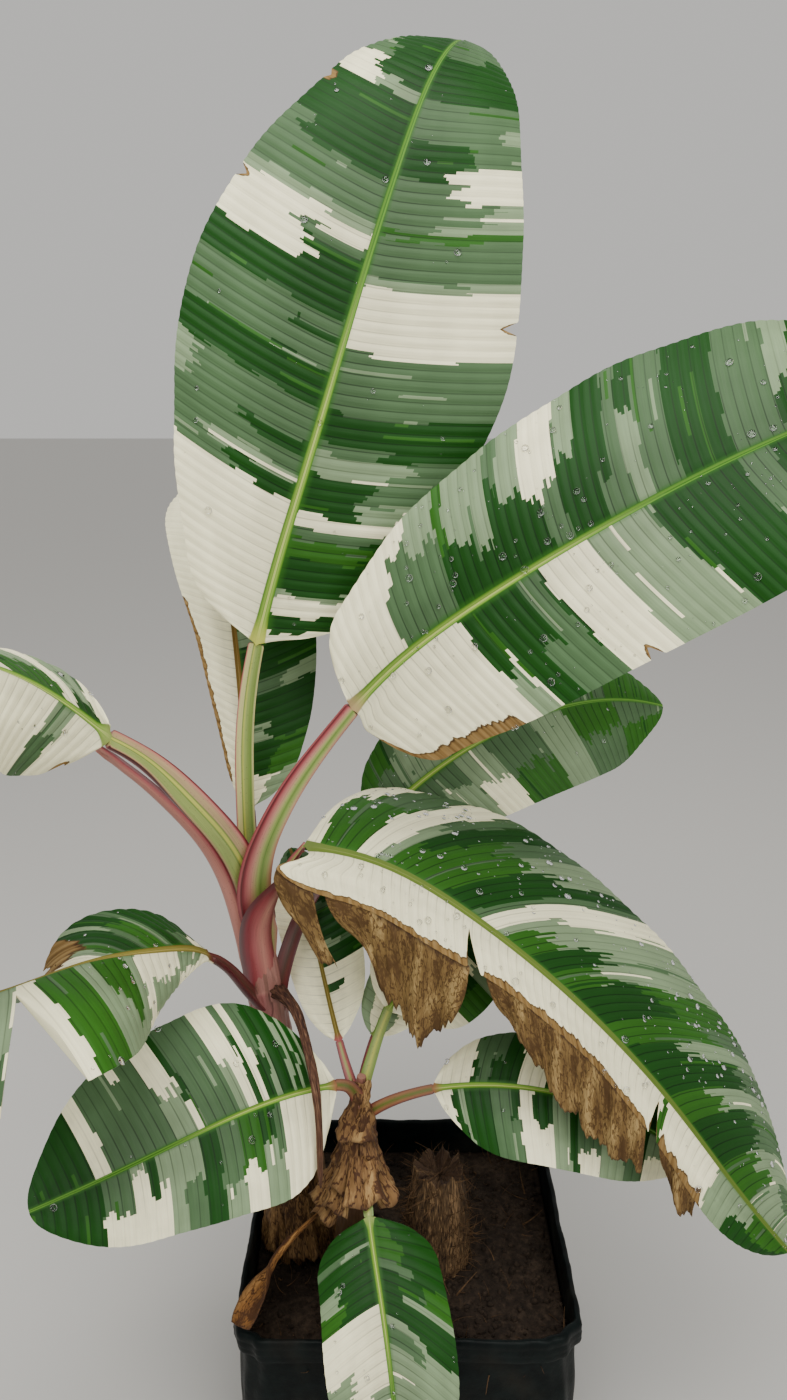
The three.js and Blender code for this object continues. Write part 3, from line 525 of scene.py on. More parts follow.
# Each leaf: where its stalk leaves the stem, the turns of stalk and midrib, and the blade's half widths at
# six even steps from base to tip. Left and right are as seen along the midrib. A leaf's own left and right
# are the bands of that half from base to tip: "24 de 55" runs to 24 percent of the midrib, dark within and
# grey beyond 55 percent of the half.
leaves = [
    {"name": "leaf_1", "root": (-224, -10, 868), "look": "leaf_1", "foot": "yellow", "wave": 5, "drops": 60,
     "inward": (182, 12), "tuck": 14,
     "nicks": [("left", 0.585, 0.07), ("left", 0.77, 0.05), ("right", 0.485, 0.09)],
     "stalk": {"length": 400, "headings": [-90, 10, 76], "rises": [87, 88, 77],
      "half": [15, 14, 13, 13, 12, 11], "depth": [14, 13, 12, 12, 11, 11]},
     "blade": {"length": 930, "headings": [77, 72, 66, 60, 40, 12], "rises": [75, 71, 71, 69, 58, 12],
      "faces": [[182, 12], [178, 55]], "rounding": [0.07, 0.22], "left": [98, 182, 228, 202, 126, 76],
      "right": [115, 190, 224, 186, 124, 82], "droop": {"left": [-8, 10], "right": [2, 20]}},
     "left": "21.5 c, 24 de 55, 25.5 se 80, 28.5 e, 30 de 45, 35.5 es 85, 40.5 d, 44.5 e, 45.5 de 35, "
      "47.5 e, 52 d, 56 dc 40, 57.5 ec 45, 60 c, 61.5 s, 67.5 e, 71 de 80, 79 d, 81 sc 55, 84.5 dc 62, "
      "88 de 60, 91 ds 85, 96.5 d, 100 e",
     "right": "2 c, 5 d, 7.5 c, 8.5 s, 13.5 d, 16.5 gd 60, 18 e, 20 c, 22.5 ds 40, 26 de 50, 29 se 60, "
      "30.5 ed 45, 35 d, 43.5 e, 53 c, 54 s, 60 e, 61 g, 62.5 es 40, 65 es 80, 68 ec 55, 70 dc 40, "
      "73.5 de 55, 76 es 80, 80 e, 88.5 d, 91 ed 60, 100 e"},
    {"name": "leaf_2", "root": (-211, -14, 848), "look": "leaf_2", "groove": 0.12, "foot": "beige",
     "wave": 7, "drops": 520, "toe": (60, 8), "tuck": -5, "inward": (178, 8), "lobes": {"right": 18},
     "nicks": [("right", 0.41, 0.1), ("right", 0.71, 0.05)], "deadEdges": [("right", 0.0, 0.2, 16)],
     "stalk": {"length": 396, "headings": [217, 153, 100, 97, 103], "rises": [73, 72, 64, 55, 52],
      "half": [24, 25, 22, 18, 16, 14, 12, 11], "depth": [12, 14, 15, 14, 13, 12, 11, 11]},
     "blade": {"length": 830, "headings": [106, 104, 100, 96, 90, 84], "rises": [50, 38, 33, 29, 22, 12],
      "faces": [[185, 24], [185, 46]], "rounding": [0.06, 0.25], "left": [92, 152, 180, 182, 158, 105],
      "right": [125, 160, 172, 174, 158, 100], "droop": {"left": [-10, 10], "right": [-10, 15]}},
     "left": "13.5 c, 15.5 ec 55, 19 ec 80, 24 es 60, 25.5 dg 50, 30 ds 50, 33 ds 30, 35 de 65, 38.5 ds 50, "
      "41 dc 40, 44 ec 40, 47.5 ds 55, 50 d, 52 ed 35, 54 e, 57 sd 62, 61 e, 69 d, 76.5 e, 80 ds 40, 84 d, "
      "90 ec 50, 100 e",
     "right": "22.5 c, 26 ds 55, 30 d, 33 de 60, 36 e, 36.8 de 80, 45 c, 55 s, 57 ds 62, 68 d, 73 es 60, "
      "79 d, 85 c, 92 ed 50, 100 e"},
    {"name": "leaf_3", "root": (-216, -3, 760), "look": "rose", "inward": (-32, 8), "foot": "olive",
     "ripe": 0.85, "rib": 4.2, "blush": 0.45, "wave": 5, "drops": 800, "lean": {"left": 0.2},
     "toe": (70, 20), "lobes": {"right": 62}, "nicks": [("right", 0.295, 0.75), ("right", 0.685, 0.8)],
     "deadEdges": [("right", 0.0, 0.3, 7), ("right", 0.31, 0.67, 9), ("right", 0.7, 0.83, 12)],
     "stalk": {"length": 279, "headings": [227, 180, 140, 120, 105], "rises": [85, 73, 60, 55, 55],
      "half": [25, 25, 24, 22, 18, 13, 7], "depth": [27, 26, 21, 15, 12, 11, 10]},
     "blade": {"length": 845, "headings": [91, 114, 116, 110, 106, 108],
      "rises": [-6, -21, -31, -43, -52, -46], "faces": [[172, 72], [150, 60]], "rounding": [0.08, 0.25],
      "left": [200, 236, 235, 222, 205, 170], "right": [64, 65, 48, 46, 53, 70],
      "droop": {"left": [-5, 25], "right": [35, 65]}},
     "left": "2 c, 5 gc 75, 8.5 ge 60, 11.5 c, 13.5 se 50, 16.5 gd 30, 20 ge 55, 23.5 gs 50, 26 ds 60, "
      "29 d, 30.5 e, 33.5 c, 35.5 sc 40, 40 gs 22, 44 ds 40, 48 gs 30, 55 dg 50, 60 ge 60, 64 ds 35, "
      "70 de 70, 75 gs 30, 83 de 50, 90 gs 40, 100 se 50",
     "right": "69 c, 70 g, 83 c, 88 s, 92 sd 50, 100 gd 60"},
    {"name": "leaf_4", "root": (-216, -15, 865), "look": "leaf_4", "wave": 7, "drops": 160,
     "lean": {"left": 0.1, "right": 0.16}, "inward": (176, 12), "groove": 0.24, "toe": (60, 8), "tuck": 8,
     "nicks": [("left", 0.05, 0.2)],
     "stalk": {"length": 373, "headings": [-159, -135, -117, -114, -117], "rises": [80, 68, 54, 50, 34],
      "half": [25, 24, 22, 20.5, 19.5, 18, 16], "depth": [14, 15, 15, 15, 14, 12, 11]},
     "blade": {"length": 600, "headings": [-124, -132, -132, -128, -123, -116],
      "rises": [48, 38, 16, -10, -36, -55], "faces": [[160, 62], [-150, 60]], "rounding": [0.1, 0.28],
      "left": [80, 130, 150, 150, 130, 80], "right": [70, 130, 150, 150, 130, 80],
      "droop": {"left": [22, 62], "right": [-5, 20]}},
     "left": "10 c, 15 se 50, 30 c, 36 es 50, 44 c, 58 ge 50, 70 sc 40, 86 de 60, 100 ge 50",
     "right": "4 c, 9 ds 40, 13 c, 20 gs 50, 26 gd 40, 30 cs 50, 42 g, 50 ce 40, 62 dg 50, 74 ec 50, "
      "100 ge 50"},
    {"name": "leaf_5", "root": (-235, -11, 802), "look": "pink", "inward": (20, 30), "facing": (10, 40),
     "toe": (80, 5), "tuck": 6,
     "stalk": {"length": 394, "headings": [-77, -70, -72, -75, -77], "rises": [83, 73, 49, 38, 30],
      "half": [12, 14, 14, 13, 12, 11, 11], "depth": [12, 12, 11, 10, 10, 9, 9]}},
    {"name": "leaf_6", "root": (-216, -28, 742), "look": "dusky", "foot": "wine", "red": 0.55, "wave": 6,
     "drops": 90, "lean": {"left": 0.14, "right": 0.1}, "toe": (40, 8), "nicks": [("right", 0.5, 0.3)],
     "deadEdges": [("right", 0.4, 0.58, 60)],
     "stalk": {"length": 150, "headings": [-145, -148, -146], "rises": [52, 54, 40], "half": [13, 9],
      "depth": [11, 8]},
     "blade": {"length": 450, "headings": [-160, -146, -137, -128, -119, -114],
      "rises": [42, 22, 14, -2, -8, -34], "faces": [[176, 62], [-150, 55]], "rounding": [0.12, 0.3],
      "sweep": 0.03, "left": [12, 66, 118, 172, 160, 105], "right": [50, 92, 130, 110, 95, 60],
      "droop": {"left": [26, 69], "right": [-5, 20]},
      "tears": [{"side": "left", "at": 0.7, "depth": 0.86, "parting": 0.19}]},
     "left": "8 c, 20 sc 50, 33 cs 45, 36.5 c, 40 s, 44 gs 75, 49.5 gs 50, 54.5 s, 65.5 g, 70 c, 78 se 50, "
      "84 s, 90 ec 60, 100 sc 50",
     "right": "10 cd 40, 16 ed 40, 20 d, 23 e, 29 gd 60, 31 es 60, 37 d, 39 e, 42 gd 50, 45 se 50, "
      "52 cs 60, 62 ce 50, 70 se 50, 80 ge 50, 100 sg 50"},
    {"name": "leaf_7", "root": (-192, -13, 725), "look": "dusky", "foot": "wine", "wave": 5, "drops": 60,
     "toe": (50, 6),
     "stalk": {"length": 313, "headings": [58, 33, 38, 70], "rises": [85, 54, 27, 42], "half": [13, 9],
      "depth": [11, 8]},
     "blade": {"length": 560, "headings": [66, 70, 72, 71, 71, 70], "rises": [42, 34, 24, 13, -2, -18],
      "faces": [[172, 36], [162, 50]], "rounding": [0.1, 0.28], "left": [64, 114, 128, 126, 108, 68],
      "right": [60, 110, 126, 126, 108, 68], "droop": {"left": [-5, 25], "right": [0, 25]}},
     "left": "15 eg 50, 30 se 60, 42 g, 50 sc 40, 62 ge 50, 80 es 60, 100 g",
     "right": "12 e, 30 es 40, 40 sc 50, 55 eg 50, 66 s, 82 ge 50, 100 eg 50"},
    {"name": "leaf_8", "root": (-221, 10, 842), "look": "red", "foot": "pink", "red": 0.7, "wave": 4,
     "deadEdges": [("left", 0.05, 0.5, 6)],
     "stalk": {"length": 170, "headings": [-16, -15, -12], "rises": [70, 74, 76], "half": [14, 10],
      "depth": [11, 9]},
     "blade": {"length": 600, "headings": [-12, -14, -18, -17, -14, -12], "rises": [76, 72, 66, 56, 36, 8],
      "faces": [[182, 10], [180, 50]], "rounding": [0.1, 0.28], "left": [24, 42, 60, 80, 80, 50],
      "right": [60, 104, 122, 122, 105, 60], "droop": {"left": [-8, 15], "right": [-8, 15]}},
     "left": "72 c, 80 sc 40, 90 c, 100 es 50",
     "right": "8 cs 50, 16 dg 50, 20 sd 40, 27 d, 31 es 60, 40 d, 44 sc 50, 56 gd 50, 66 c, 80 de 60, "
      "100 ed 50"},
    {"name": "sucker_leaf_1", "root": (-72, -98, 628), "look": "tan", "foot": "tan", "wave": 4, "drops": 30,
     "stalk": {"length": 58, "headings": [-150, -140, -126], "rises": [62, 48, 20], "half": [10, 8],
      "depth": [9, 7]},
     "blade": {"length": 430, "headings": [-124, -122, -119, -115, -113, -114],
      "rises": [14, 2, -8, -13, -13, -10], "faces": [[182, 32], [182, 34]], "rounding": [0.12, 0.34],
      "left": [90, 125, 116, 100, 84, 60], "right": [50, 140, 148, 136, 108, 70],
      "droop": {"left": [-5, 15], "right": [-5, 15]}},
     "left": "21.5 c, 24 es 50, 29 ds 35, 36 gc 60, 43 es 70, 49 d, 55 se 50, 59 s, 62 sc 40, 65.5 dc 48, "
      "70 sc 20, 79 ec 55, 100 d",
     "right": "7 c, 8.5 d, 9.5 s, 11 d, 12.5 s, 14 d, 15.2 s, 19.5 d, 21 sd 60, 24 de 50, 26.5 c, 28 de 60, "
      "31 c, 34 sc 50, 45.5 e, 47.5 cd 25, 54 sc 40, 60 e, 63 ec 80, 75 e, 80 c, 100 d"},
    {"name": "sucker_leaf_2", "root": (-64, -84, 585), "look": "tan", "foot": "tan", "wave": 4, "drops": 40,
     "stalk": {"length": 118, "headings": [104, 102, 100], "rises": [44, 30, 20], "half": [9, 7],
      "depth": [8, 6]},
     "blade": {"length": 400, "headings": [100, 100, 99, 97, 96, 96], "rises": [16, 6, -6, -20, -30, -36],
      "faces": [[180, 50], [180, 45]], "rounding": [0.14, 0.34], "left": [52, 78, 86, 82, 70, 50],
      "right": [55, 92, 96, 88, 72, 50], "droop": {"left": [0, 15], "right": [0, 15]}},
     "left": "14 c, 16 de 50, 20 e, 24 de 50, 30 d, 40 c, 50 de 40, 60 c, 75 ed 40, 100 dc 70",
     "right": "7 c, 10 d, 12 s, 21 d, 28 e, 31 de 40, 36 c, 43 dc 50, 50 s, 53 d, 62 ec 70, 72 s, 80 de 60, "
      "90 sc 50, 100 c"},
    {"name": "sucker_leaf_3", "root": (-72, -88, 520), "look": "green", "wave": 4, "drops": 50,
     "lean": {"left": 0.16, "right": 0.18},
     "stalk": {"length": 88, "headings": [162, 168, 172], "rises": [-6, -32, -38], "half": [9, 7],
      "depth": [8, 6]},
     "blade": {"length": 400, "headings": [170, 168, 166, 160, 150, 140],
      "rises": [-34, -32, -52, -74, -83, -85], "faces": [[180, 50], [180, 20]], "rounding": [0.14, 0.34],
      "left": [84, 90, 92, 86, 70, 45], "right": [84, 86, 88, 84, 70, 45],
      "droop": {"left": [0, 20], "right": [0, 20]},
      "tears": [{"side": "right", "at": 0.6, "depth": 0.8, "parting": 0.11}]},
     "left": "14 gd 40, 17 ed 50, 23 dg 60, 25 ds 30, 32 d, 35 sd 50, 40 es 50, 58 s, 70 de 60, 84 sc 60, "
      "100 ed 50",
     "right": "8 d, 10 se 50, 16 d, 22 ds 60, 28 dg 60, 42 c, 52 cs 60, 60 sc 40, 72 e, 86 ds 60, "
      "100 ed 50"},
    {"name": "sucker_leaf_4", "root": (-64, -80, 632), "look": "green", "wave": 3,
     "stalk": {"length": 112, "headings": [38, 40, 44], "rises": [62, 62, 56], "half": [9, 7],
      "depth": [8, 6]},
     "blade": {"length": 240, "headings": [56, 64, 66, 62, 56, 50], "rises": [50, 38, 28, 18, 8, 0],
      "faces": [[180, 40], [180, 60]], "rounding": [0.14, 0.34], "left": [50, 78, 84, 76, 60, 35],
      "right": [60, 94, 100, 88, 66, 40], "droop": {"left": [-5, 15], "right": [-5, 15]}},
     "left": "30 c, 42 dc 50, 62 d, 72 gc 50, 100 de 50",
     "right": "16 c, 24 dc 50, 30 c, 52 dg 60, 60 cs 50, 80 d, 100 gc 50"},
    {"name": "sucker_leaf_5", "root": (-76, -80, 624), "look": "red", "foot": "pink", "red": 0.6, "wave": 3,
     "stalk": {"length": 72, "headings": [-36, -30, -26], "rises": [52, 50, 50], "half": [8, 6],
      "depth": [7, 6]},
     "blade": {"length": 320, "headings": [-26, -24, -24, -22, -20, -20], "rises": [50, 52, 52, 46, 34, 15],
      "faces": [[180, 30], [180, 50]], "rounding": [0.14, 0.34], "left": [28, 44, 50, 50, 42, 30],
      "right": [30, 60, 70, 66, 52, 30], "droop": {"left": [-5, 15], "right": [-5, 15]}},
     "left": "70 c, 80 ec 50, 100 de 50",
     "right": "22 c, 26 dc 40, 34 c, 42 d, 45 se 50, 60 d, 64 ec 50, 78 dg 50, 84 s, 100 de 50"},
    {"name": "sucker_leaf_6", "root": (-68, -76, 618), "look": "red", "wave": 3,
     "stalk": {"length": 80, "headings": [20, 24, 28], "rises": [60, 54, 48], "half": [8, 6],
      "depth": [7, 6]},
     "blade": {"length": 220, "headings": [28, 30, 30, 28, 26, 24], "rises": [46, 38, 30, 22, 12, 0],
      "faces": [[180, 40], [180, 60]], "rounding": [0.14, 0.34], "left": [26, 40, 46, 46, 38, 24],
      "right": [34, 50, 54, 50, 40, 24], "droop": {"left": [-5, 15], "right": [-5, 15]}},
     "left": "40 cs 50, 60 de 50, 75 c, 100 ge 50",
     "right": "30 sc 50, 50 d, 64 c, 82 dg 50, 100 ec 50"},
]

bladeWork = {
    "rowSpacing": 2.8,
    "columns": 13,  # from the midrib to the margin
    "thickness": 1.4,
    "ribTip": 2.2,  # half width of the midrib at the tip
    "ribTipDepth": 2.0,
    "channel": 1.6,  # depth of the midrib's channel above
    "waveLength": 130,
    "foldHeight": 0.0007,  # metres
    "sweep": 0.05,  # how far its veins run forward, as a share of the midrib
    "rib": 7.0,  # half width of the longest blade's midrib at its foot
    "longest": 930,
    "waveHeight": 1.6,
    "browned": 18,  # reach of the brown round a nick
    "fading": 0.015,  # of the midrib, each way from the end of a dead edge
    "hem": 1.5,  # least width of a half beyond the midrib
    "tornHem": 0.04,  # share of a half that is gathered beside a tear
    "tearReach": 0.001,  # of the midrib, each way from a tear
    "nickReach": 9,  # each way from a nick in the margin
}


def halfWidth(blade, half, f):
    base, tip = (clamp(x) for x in (f / blade["rounding"][0], (1 - f) / blade["rounding"][1]))
    rounded = math.sqrt(1 - (1 - base) ** 2) * math.sqrt(1 - (1 - tip) ** 2)
    return through(blade[half], clamp(f)) * max(rounded, 0.06)


# How much of a half is left at share f, beside a tear or a nick.
def leftByTears(leaf, half, f, vein):
    blade, cuts = leaf["blade"], [0.0]
    for tear in blade.get("tears", []):
        if tear["side"] == half:
            cuts.append(tear["depth"] * max(0, 1 - abs(vein - tear["at"]) / bladeWork["tearReach"]))
    for side, at, depth in leaf.get("nicks", []):
        if side == half:
            reach = bladeWork["nickReach"] / blade["length"]
            cuts.append(depth * max(0, 1 - abs(f - at) / reach))
    return 1 - max(cuts)


# How dead the blade is at a point, from 0 to 1, past a half where it turns brown.
def deadness(leaf, half, f, fromEdge):
    found = 0.0
    for side, start, end, width in leaf.get("deadEdges", []):
        if side == half:
            fading = bladeWork["fading"]
            within = ease(start - fading, start + fading, f) * (1 - ease(end - fading, end + fading, f))
            ragged = width * (1 + 0.7 * wobble(f * leaf["blade"]["length"] / 16, 3.3))
            found = max(found, within * clamp(1 - fromEdge / (2 * ragged)))
    for side, at, _ in leaf.get("nicks", []):
        if side == half:
            away = math.hypot((f - at) * leaf["blade"]["length"], max(fromEdge - 6, 0))
            found = max(found, clamp(1 - away / bladeWork["browned"]))
    return found


# The point of a blade at share f of its midrib and signed share t of a half, with its upward side there.
def bladePoint(leaf, f, t, widened=1.0):
    blade = leaf["blade"]
    half = "left" if t < 0 else "right"
    share = abs(t)
    forward = blade.get("sweep", bladeWork["sweep"]) * (1 - f) * (4 * f * share ** 1.5 + 0.3 * share)
    lobe = leaf.get("lobes", {}).get(half, 0) / blade["length"]
    backward = lobe * ease(0.14, 0.0, f) * ease(8, 36, halfWidth(blade, half, f) * share)
    point, _, upward, sideways = framed(leaf["path"], blade["faces"], f + forward - backward)
    first, last = (math.radians(angle) for angle in blade["droop"][half])
    end = mix(first, last, share)
    distance = halfWidth(blade, half, f) * share * widened
    sign = -1 if t < 0 else 1
    if abs(end - first) > 1e-4:
        out = distance * (math.sin(end) - math.sin(first)) / (end - first)
        down = distance * (math.cos(first) - math.cos(end)) / (end - first)
    else:
        out, down = distance * math.cos(first), distance * math.sin(first)
    normal = upward * math.cos(end) + sideways * (sign * math.sin(end))
    wave = wobble(f * blade["length"] / bladeWork["waveLength"], sign * (1 + share), len(leaf["name"]) + sign)
    lift = leaf["wave"] * bladeWork["waveHeight"] * share ** 1.5 * wave
    return point + sideways * (sign * out) - upward * down + normal * lift, normal


# Where a vein that leaves the midrib at share g lies at share t of its half.
def alongVein(leaf, g, t):
    half = "left" if t < 0 else "right"
    lean = leaf.get("lean", {}).get(half, 0) * 4 * g * (1 - g)
    for tear in leaf["blade"].get("tears", []):
        if tear["side"] == half and g < tear["at"]:
            lean -= tear["parting"] * ease(0, 0.3, g)
    return g + lean * abs(t) ** 1.2


def bladeMesh(leaf):
    blade, stalk = leaf["blade"], leaf["stalk"]
    length = blade["length"]
    rows = round(length / bladeWork["rowSpacing"])
    stations = {r / rows for r in range(rows + 1)}
    for k in range(1, 6):
        stations |= {0.0002 * k * k, 1 - 0.0002 * k * k}
    for tear in blade.get("tears", []):
        stations |= {tear["at"] + side * bladeWork["tearReach"] for side in (-1, 0, 1)}
    rings, uvs, maps, lifts = [], [], [], []
    for g in sorted(stations):
        opening = ease(0, 0.05, g)
        ribFoot = leaf.get("rib", bladeWork["rib"]) * length / bladeWork["longest"] + bladeWork["hem"]
        ribHalf = mix(mix(stalk["half"][-1], ribFoot, opening), bladeWork["ribTip"], g ** 0.8)
        ribDepth = mix(stalk["depth"][-1], bladeWork["ribTipDepth"], g ** 0.8)
        lip = 0.35 * stalk["depth"][-1] * (1 - opening)
        for sign in (-1, 1):
            half = "left" if sign < 0 else "right"
            wide = max(halfWidth(blade, half, g), ribHalf + bladeWork["hem"])
            shares = [ribHalf / wide * s for s in (0, 0.25, 0.5, 0.75, 1)]
            count = bladeWork["columns"]
            shares += [mix(shares[4], 1, k / count) for k in range(1, count)] + [0.995, 1]
            side = []
            for share in shares:
                t = sign * share
                f = alongVein(leaf, g, t)
                here = max(halfWidth(blade, half, f), ribHalf + bladeWork["hem"])
                edge = leftByTears(leaf, half, f, g)
                free = edge - bladeWork["tornHem"]
                held = mix(free, edge, (share - free) / (1 - free)) if share > free and edge < 1 else share
                f = alongVein(leaf, g, sign * held) if edge < 1 else f
                widened = here / halfWidth(blade, half, f)
                point, normal = bladePoint(leaf, f, sign * max(held, 1e-6), widened)
                across = share * wide / ribHalf
                channel = -bladeWork["channel"] * math.cos(min(across, 1) * math.pi) * (1 - 0.6 * g)
                ribTop = channel if across < 1 else bladeWork["channel"] * max(0, 2 - across) * (1 - 0.6 * g)
                stalkTop = stalk["depth"][-1] * (0.35 - 0.3 * math.cos(min(across, 1) * math.pi / 2))
                height = mix(stalkTop if across <= 1 else lip / across, ribTop, opening)
                below = ribDepth * math.sqrt(max(0, 1 - across ** 2)) if across < 1 else 0
                thick = bladeWork["thickness"] / 2
                dead = deadness(leaf, half, f, (1 - share) * here)
                side.append((point, normal, height + thick, min(height - thick, -below), t, across, dead))
            if sign < 0:
                ring = list(reversed(side[1:]))
            else:
                ring += side
        top = [point + normal * height for point, normal, height, _, _, _, _ in ring]
        bottom = [point + normal * depth for point, normal, _, depth, _, _, _ in reversed(ring)]
        rings.append(top + bottom)
        places = [((t + 1) / 2, g) for _, _, _, _, t, _, _ in ring]
        uvs.append(places + places[::-1])
        over = [(across, dead, 0) for _, _, _, _, _, across, dead in ring]
        maps.append(over + [(across, dead, 1) for across, dead, _ in reversed(over)])
        fade = [ease(1.0, 4.0, across) * ease(0, 0.03, g) * (1 - ease(0.96, 1, g))
                for _, _, _, _, _, across, _ in ring]
        sides = [normal * share for (_, normal, _, _, _, _, _), share in zip(ring, fade)]
        lifts.append(sides + sides[::-1])
    return shell(f"{leaf['name']}_grid", rings, uvs, maps, lifts)


# The folds along the veins: sharp valleys and rounded crests, the same on both faces of the blade.
def makeFoldTree():
    tree, given, out = startGroup(
        "leafFolds", {"Geometry": geometryIn, "Folds": 40.0, "Height": 0.001, "Material": materialIn},
        {"Geometry": geometryIn}, "GeometryNodeTree")
    phase = parts(named("veins"))["Y"] * given["Folds"] * math.pi
    height = (abs(calc("SINE", phase)) * 2.0 - 1.3) * given["Height"]
    offset = put("ShaderNodeVectorMath", {0: named("lift"), "Scale": height}, operation="SCALE")[0]
    moved = put("GeometryNodeSetPosition", {"Geometry": given["Geometry"], "Offset": offset})
    finishTree(out, moved["Geometry"], given["Material"])
    return tree


foldTree = makeFoldTree()
for seed, leaf in enumerate(leaves):
    leaf["stalkPath"] = route(leaf["root"], leaf["stalk"])
    if "blade" in leaf:
        end, ahead = leaf["stalkPath"](1)
        leaf["path"] = route(end + ahead * 0.3, leaf["blade"])
        folds = {"Folds": float(foldCount(leaf["blade"])), "Height": bladeWork["foldHeight"],
                 "Material": makeBladeMaterial(leaf, seed)}
        mesh = runTree(bladeMesh(leaf), foldTree, folds)
        mesh.name = f"{leaf['name']}_blade_mesh"
        addPiece(f"{leaf['name']}_blade_skin", mesh, None, "blade", [f"{leaf['name']}_blade"])


print("scene: stalks")

mainStem = {"foot": (-162, 18), "middle": (-196, 2, 600), "head": (-224, -8, 890),
            "radii": [50, 43, 39, 34, 28, 25, 12], "spacing": 4, "around": 120, "layer": 1.7}
suckerStem = {"foot": (-92, -62), "middle": (-80, -80, 460), "head": (-66, -88, 655),
              "radii": [31, 25, 22, 20, 18, 8], "spacing": 3, "around": 90, "layer": 1.3}
ground = 280.3  # the level of the soil


def stemRoute(stem):
    foot, middle, head = (Vector(point) for point in ((*stem["foot"], ground), stem["middle"], stem["head"]))

    def along(f):
        point = foot * (1 - f) ** 2 + middle * (2 * f * (1 - f)) + head * f ** 2
        return point, ((middle - foot) * (1 - f) + (head - middle) * f).normalized()

    return along


# Where on a stem's route a height lies.
def shareAtHeight(path, height):
    low, high = 0.0, 1.0
    for _ in range(20):
        middle = (low + high) / 2
        low, high = (middle, high) if path(middle)[0].z < height else (low, middle)
    return low


stalkWork = {"rowSpacing": 5, "shares": 13, "flare": 70, "spread": 0.5, "join": 2.5}

# The colours across a stalk's channel from its left lip to its right one, then those on its back from the
# middle out, with places in percent.
stalkLooks = {
    "leaf_1": ("0 red, 5 rose, 11 cream, 30 cream, 35 green, 42 yellow, 50 paleGreen, 86 green, 100 cream",
        "0 paleGreen, 70 beige, 90 rose, 100 red"),
    "leaf_2": ("0 red, 7 pink, 12 darkRed, 18 red, 26 pink, 38 rose, 48 beige, 58 paleGreen, 68 green, "
        "82 paleGreen, 92 beige, 100 rose",
        "0 green, 30 paleGreen, 60 beige, 85 rose, 100 pink"),
    "rose": ("0 darkRed, 20 pink, 50 paleGreen, 80 pink, 100 darkRed",
        "0 rose, 45 pink, 85 red, 100 darkRed"),
    "leaf_4": ("0 darkRed, 5 beige, 10 paleGreen, 38 paleGreen, 42 green, 46 yellow, 54 yellow, 58 green, "
        "63 beige, 78 beige, 90 rose, 96 red, 100 darkRed",
        "0 beige, 60 rose, 90 pink, 100 darkRed"),
    "pink": ("0 darkRed, 15 brown, 85 brown, 100 darkRed",
        "0 rose, 65 rose, 88 pink, 95 red, 100 darkRed"),
    "red": ("0 darkRed, 25 pink, 50 paleGreen, 75 pink, 100 darkRed",
        "0 pink, 50 red, 100 darkRed"),
    "dusky": ("0 darkRed, 30 wine, 55 brown, 80 wine, 100 darkRed",
        "0 wine, 50 brown, 100 darkRed"),
    "tan": ("0 wine, 20 tan, 50 olive, 80 tan, 100 wine",
        "0 beige, 50 tan, 100 wine"),
    "green": ("0 green, 30 paleGreen, 50 yellow, 70 paleGreen, 100 green",
        "0 paleGreen, 100 green"),
}


# Fine fibres along a limb, with its colours darkened and reddened in streaks.
def makeStalkFibres():
    tree, given, out = startGroup(
        "stalkFibres",
        {"Color": colorIn, "Place": vectorIn, "Around": 40.0, "Along": 6.0, "Stain": (0.12, 0.03, 0.02, 1),
         "Stained": 0.3},
        surfaceOut)
    split = parts(given["Place"])
    place = join(split["X"] * given["Around"], split["Y"] * given["Along"], split["Z"])
    fibres = noiseAt(place, 1.0, 4.0)
    broad = noiseAt(place, 0.28, 2.0)
    specks = put("ShaderNodeTexVoronoi", {"Vector": objectPlace(), "Scale": 190.0})["Distance"]
    spots = 1.0 - fadeIn(specks, 0.08, 0.2)
    light = (fibres * 0.7 + 0.64) * (broad * 0.5 + 0.76)
    color = blendColors(1.0, given["Color"], join(light, light, light), "MULTIPLY")
    stain = given["Stained"] * fadeIn(broad, 0.46, 0.66)
    color = blendColors(stain, color, given["Stain"])
    color = blendColors(spots * 0.35, color, limbPaint["specks"])
    plugSurface(out, color, fibres * 0.2 + 0.3, fibres + broad)
    return tree


stalkFibres = makeStalkFibres()


def paintStops(text):
    stops = [stop.split() for stop in text.split(", ")]
    return [(float(position) / 100, stalkPaint[label]) for position, label in stops]


def makeStalkMaterial(name, look, blush):
    material, shader = startMaterial(f"{name}_stalk_skin")
    leafMap = pieceMap()
    place = parts(leafMap)
    channel, back = (paintStops(stops) for stops in stalkLooks[look])
    outward = abs(place["X"] * 2.0 - 1.0)
    color = blendColors(place["Z"], ramp(place["X"], channel), ramp(outward, back))
    foot = 1.0 - fadeIn(place["Y"], -0.2, 0.3)
    color = blendColors(foot * blush, color, limbPaint["foot"])
    fibres = useGroup(stalkFibres, {"Color": color, "Place": leafMap, "Stained": 0.12})
    finishMaterial(shader, fibres, 0.3, 0.0008)
    return material


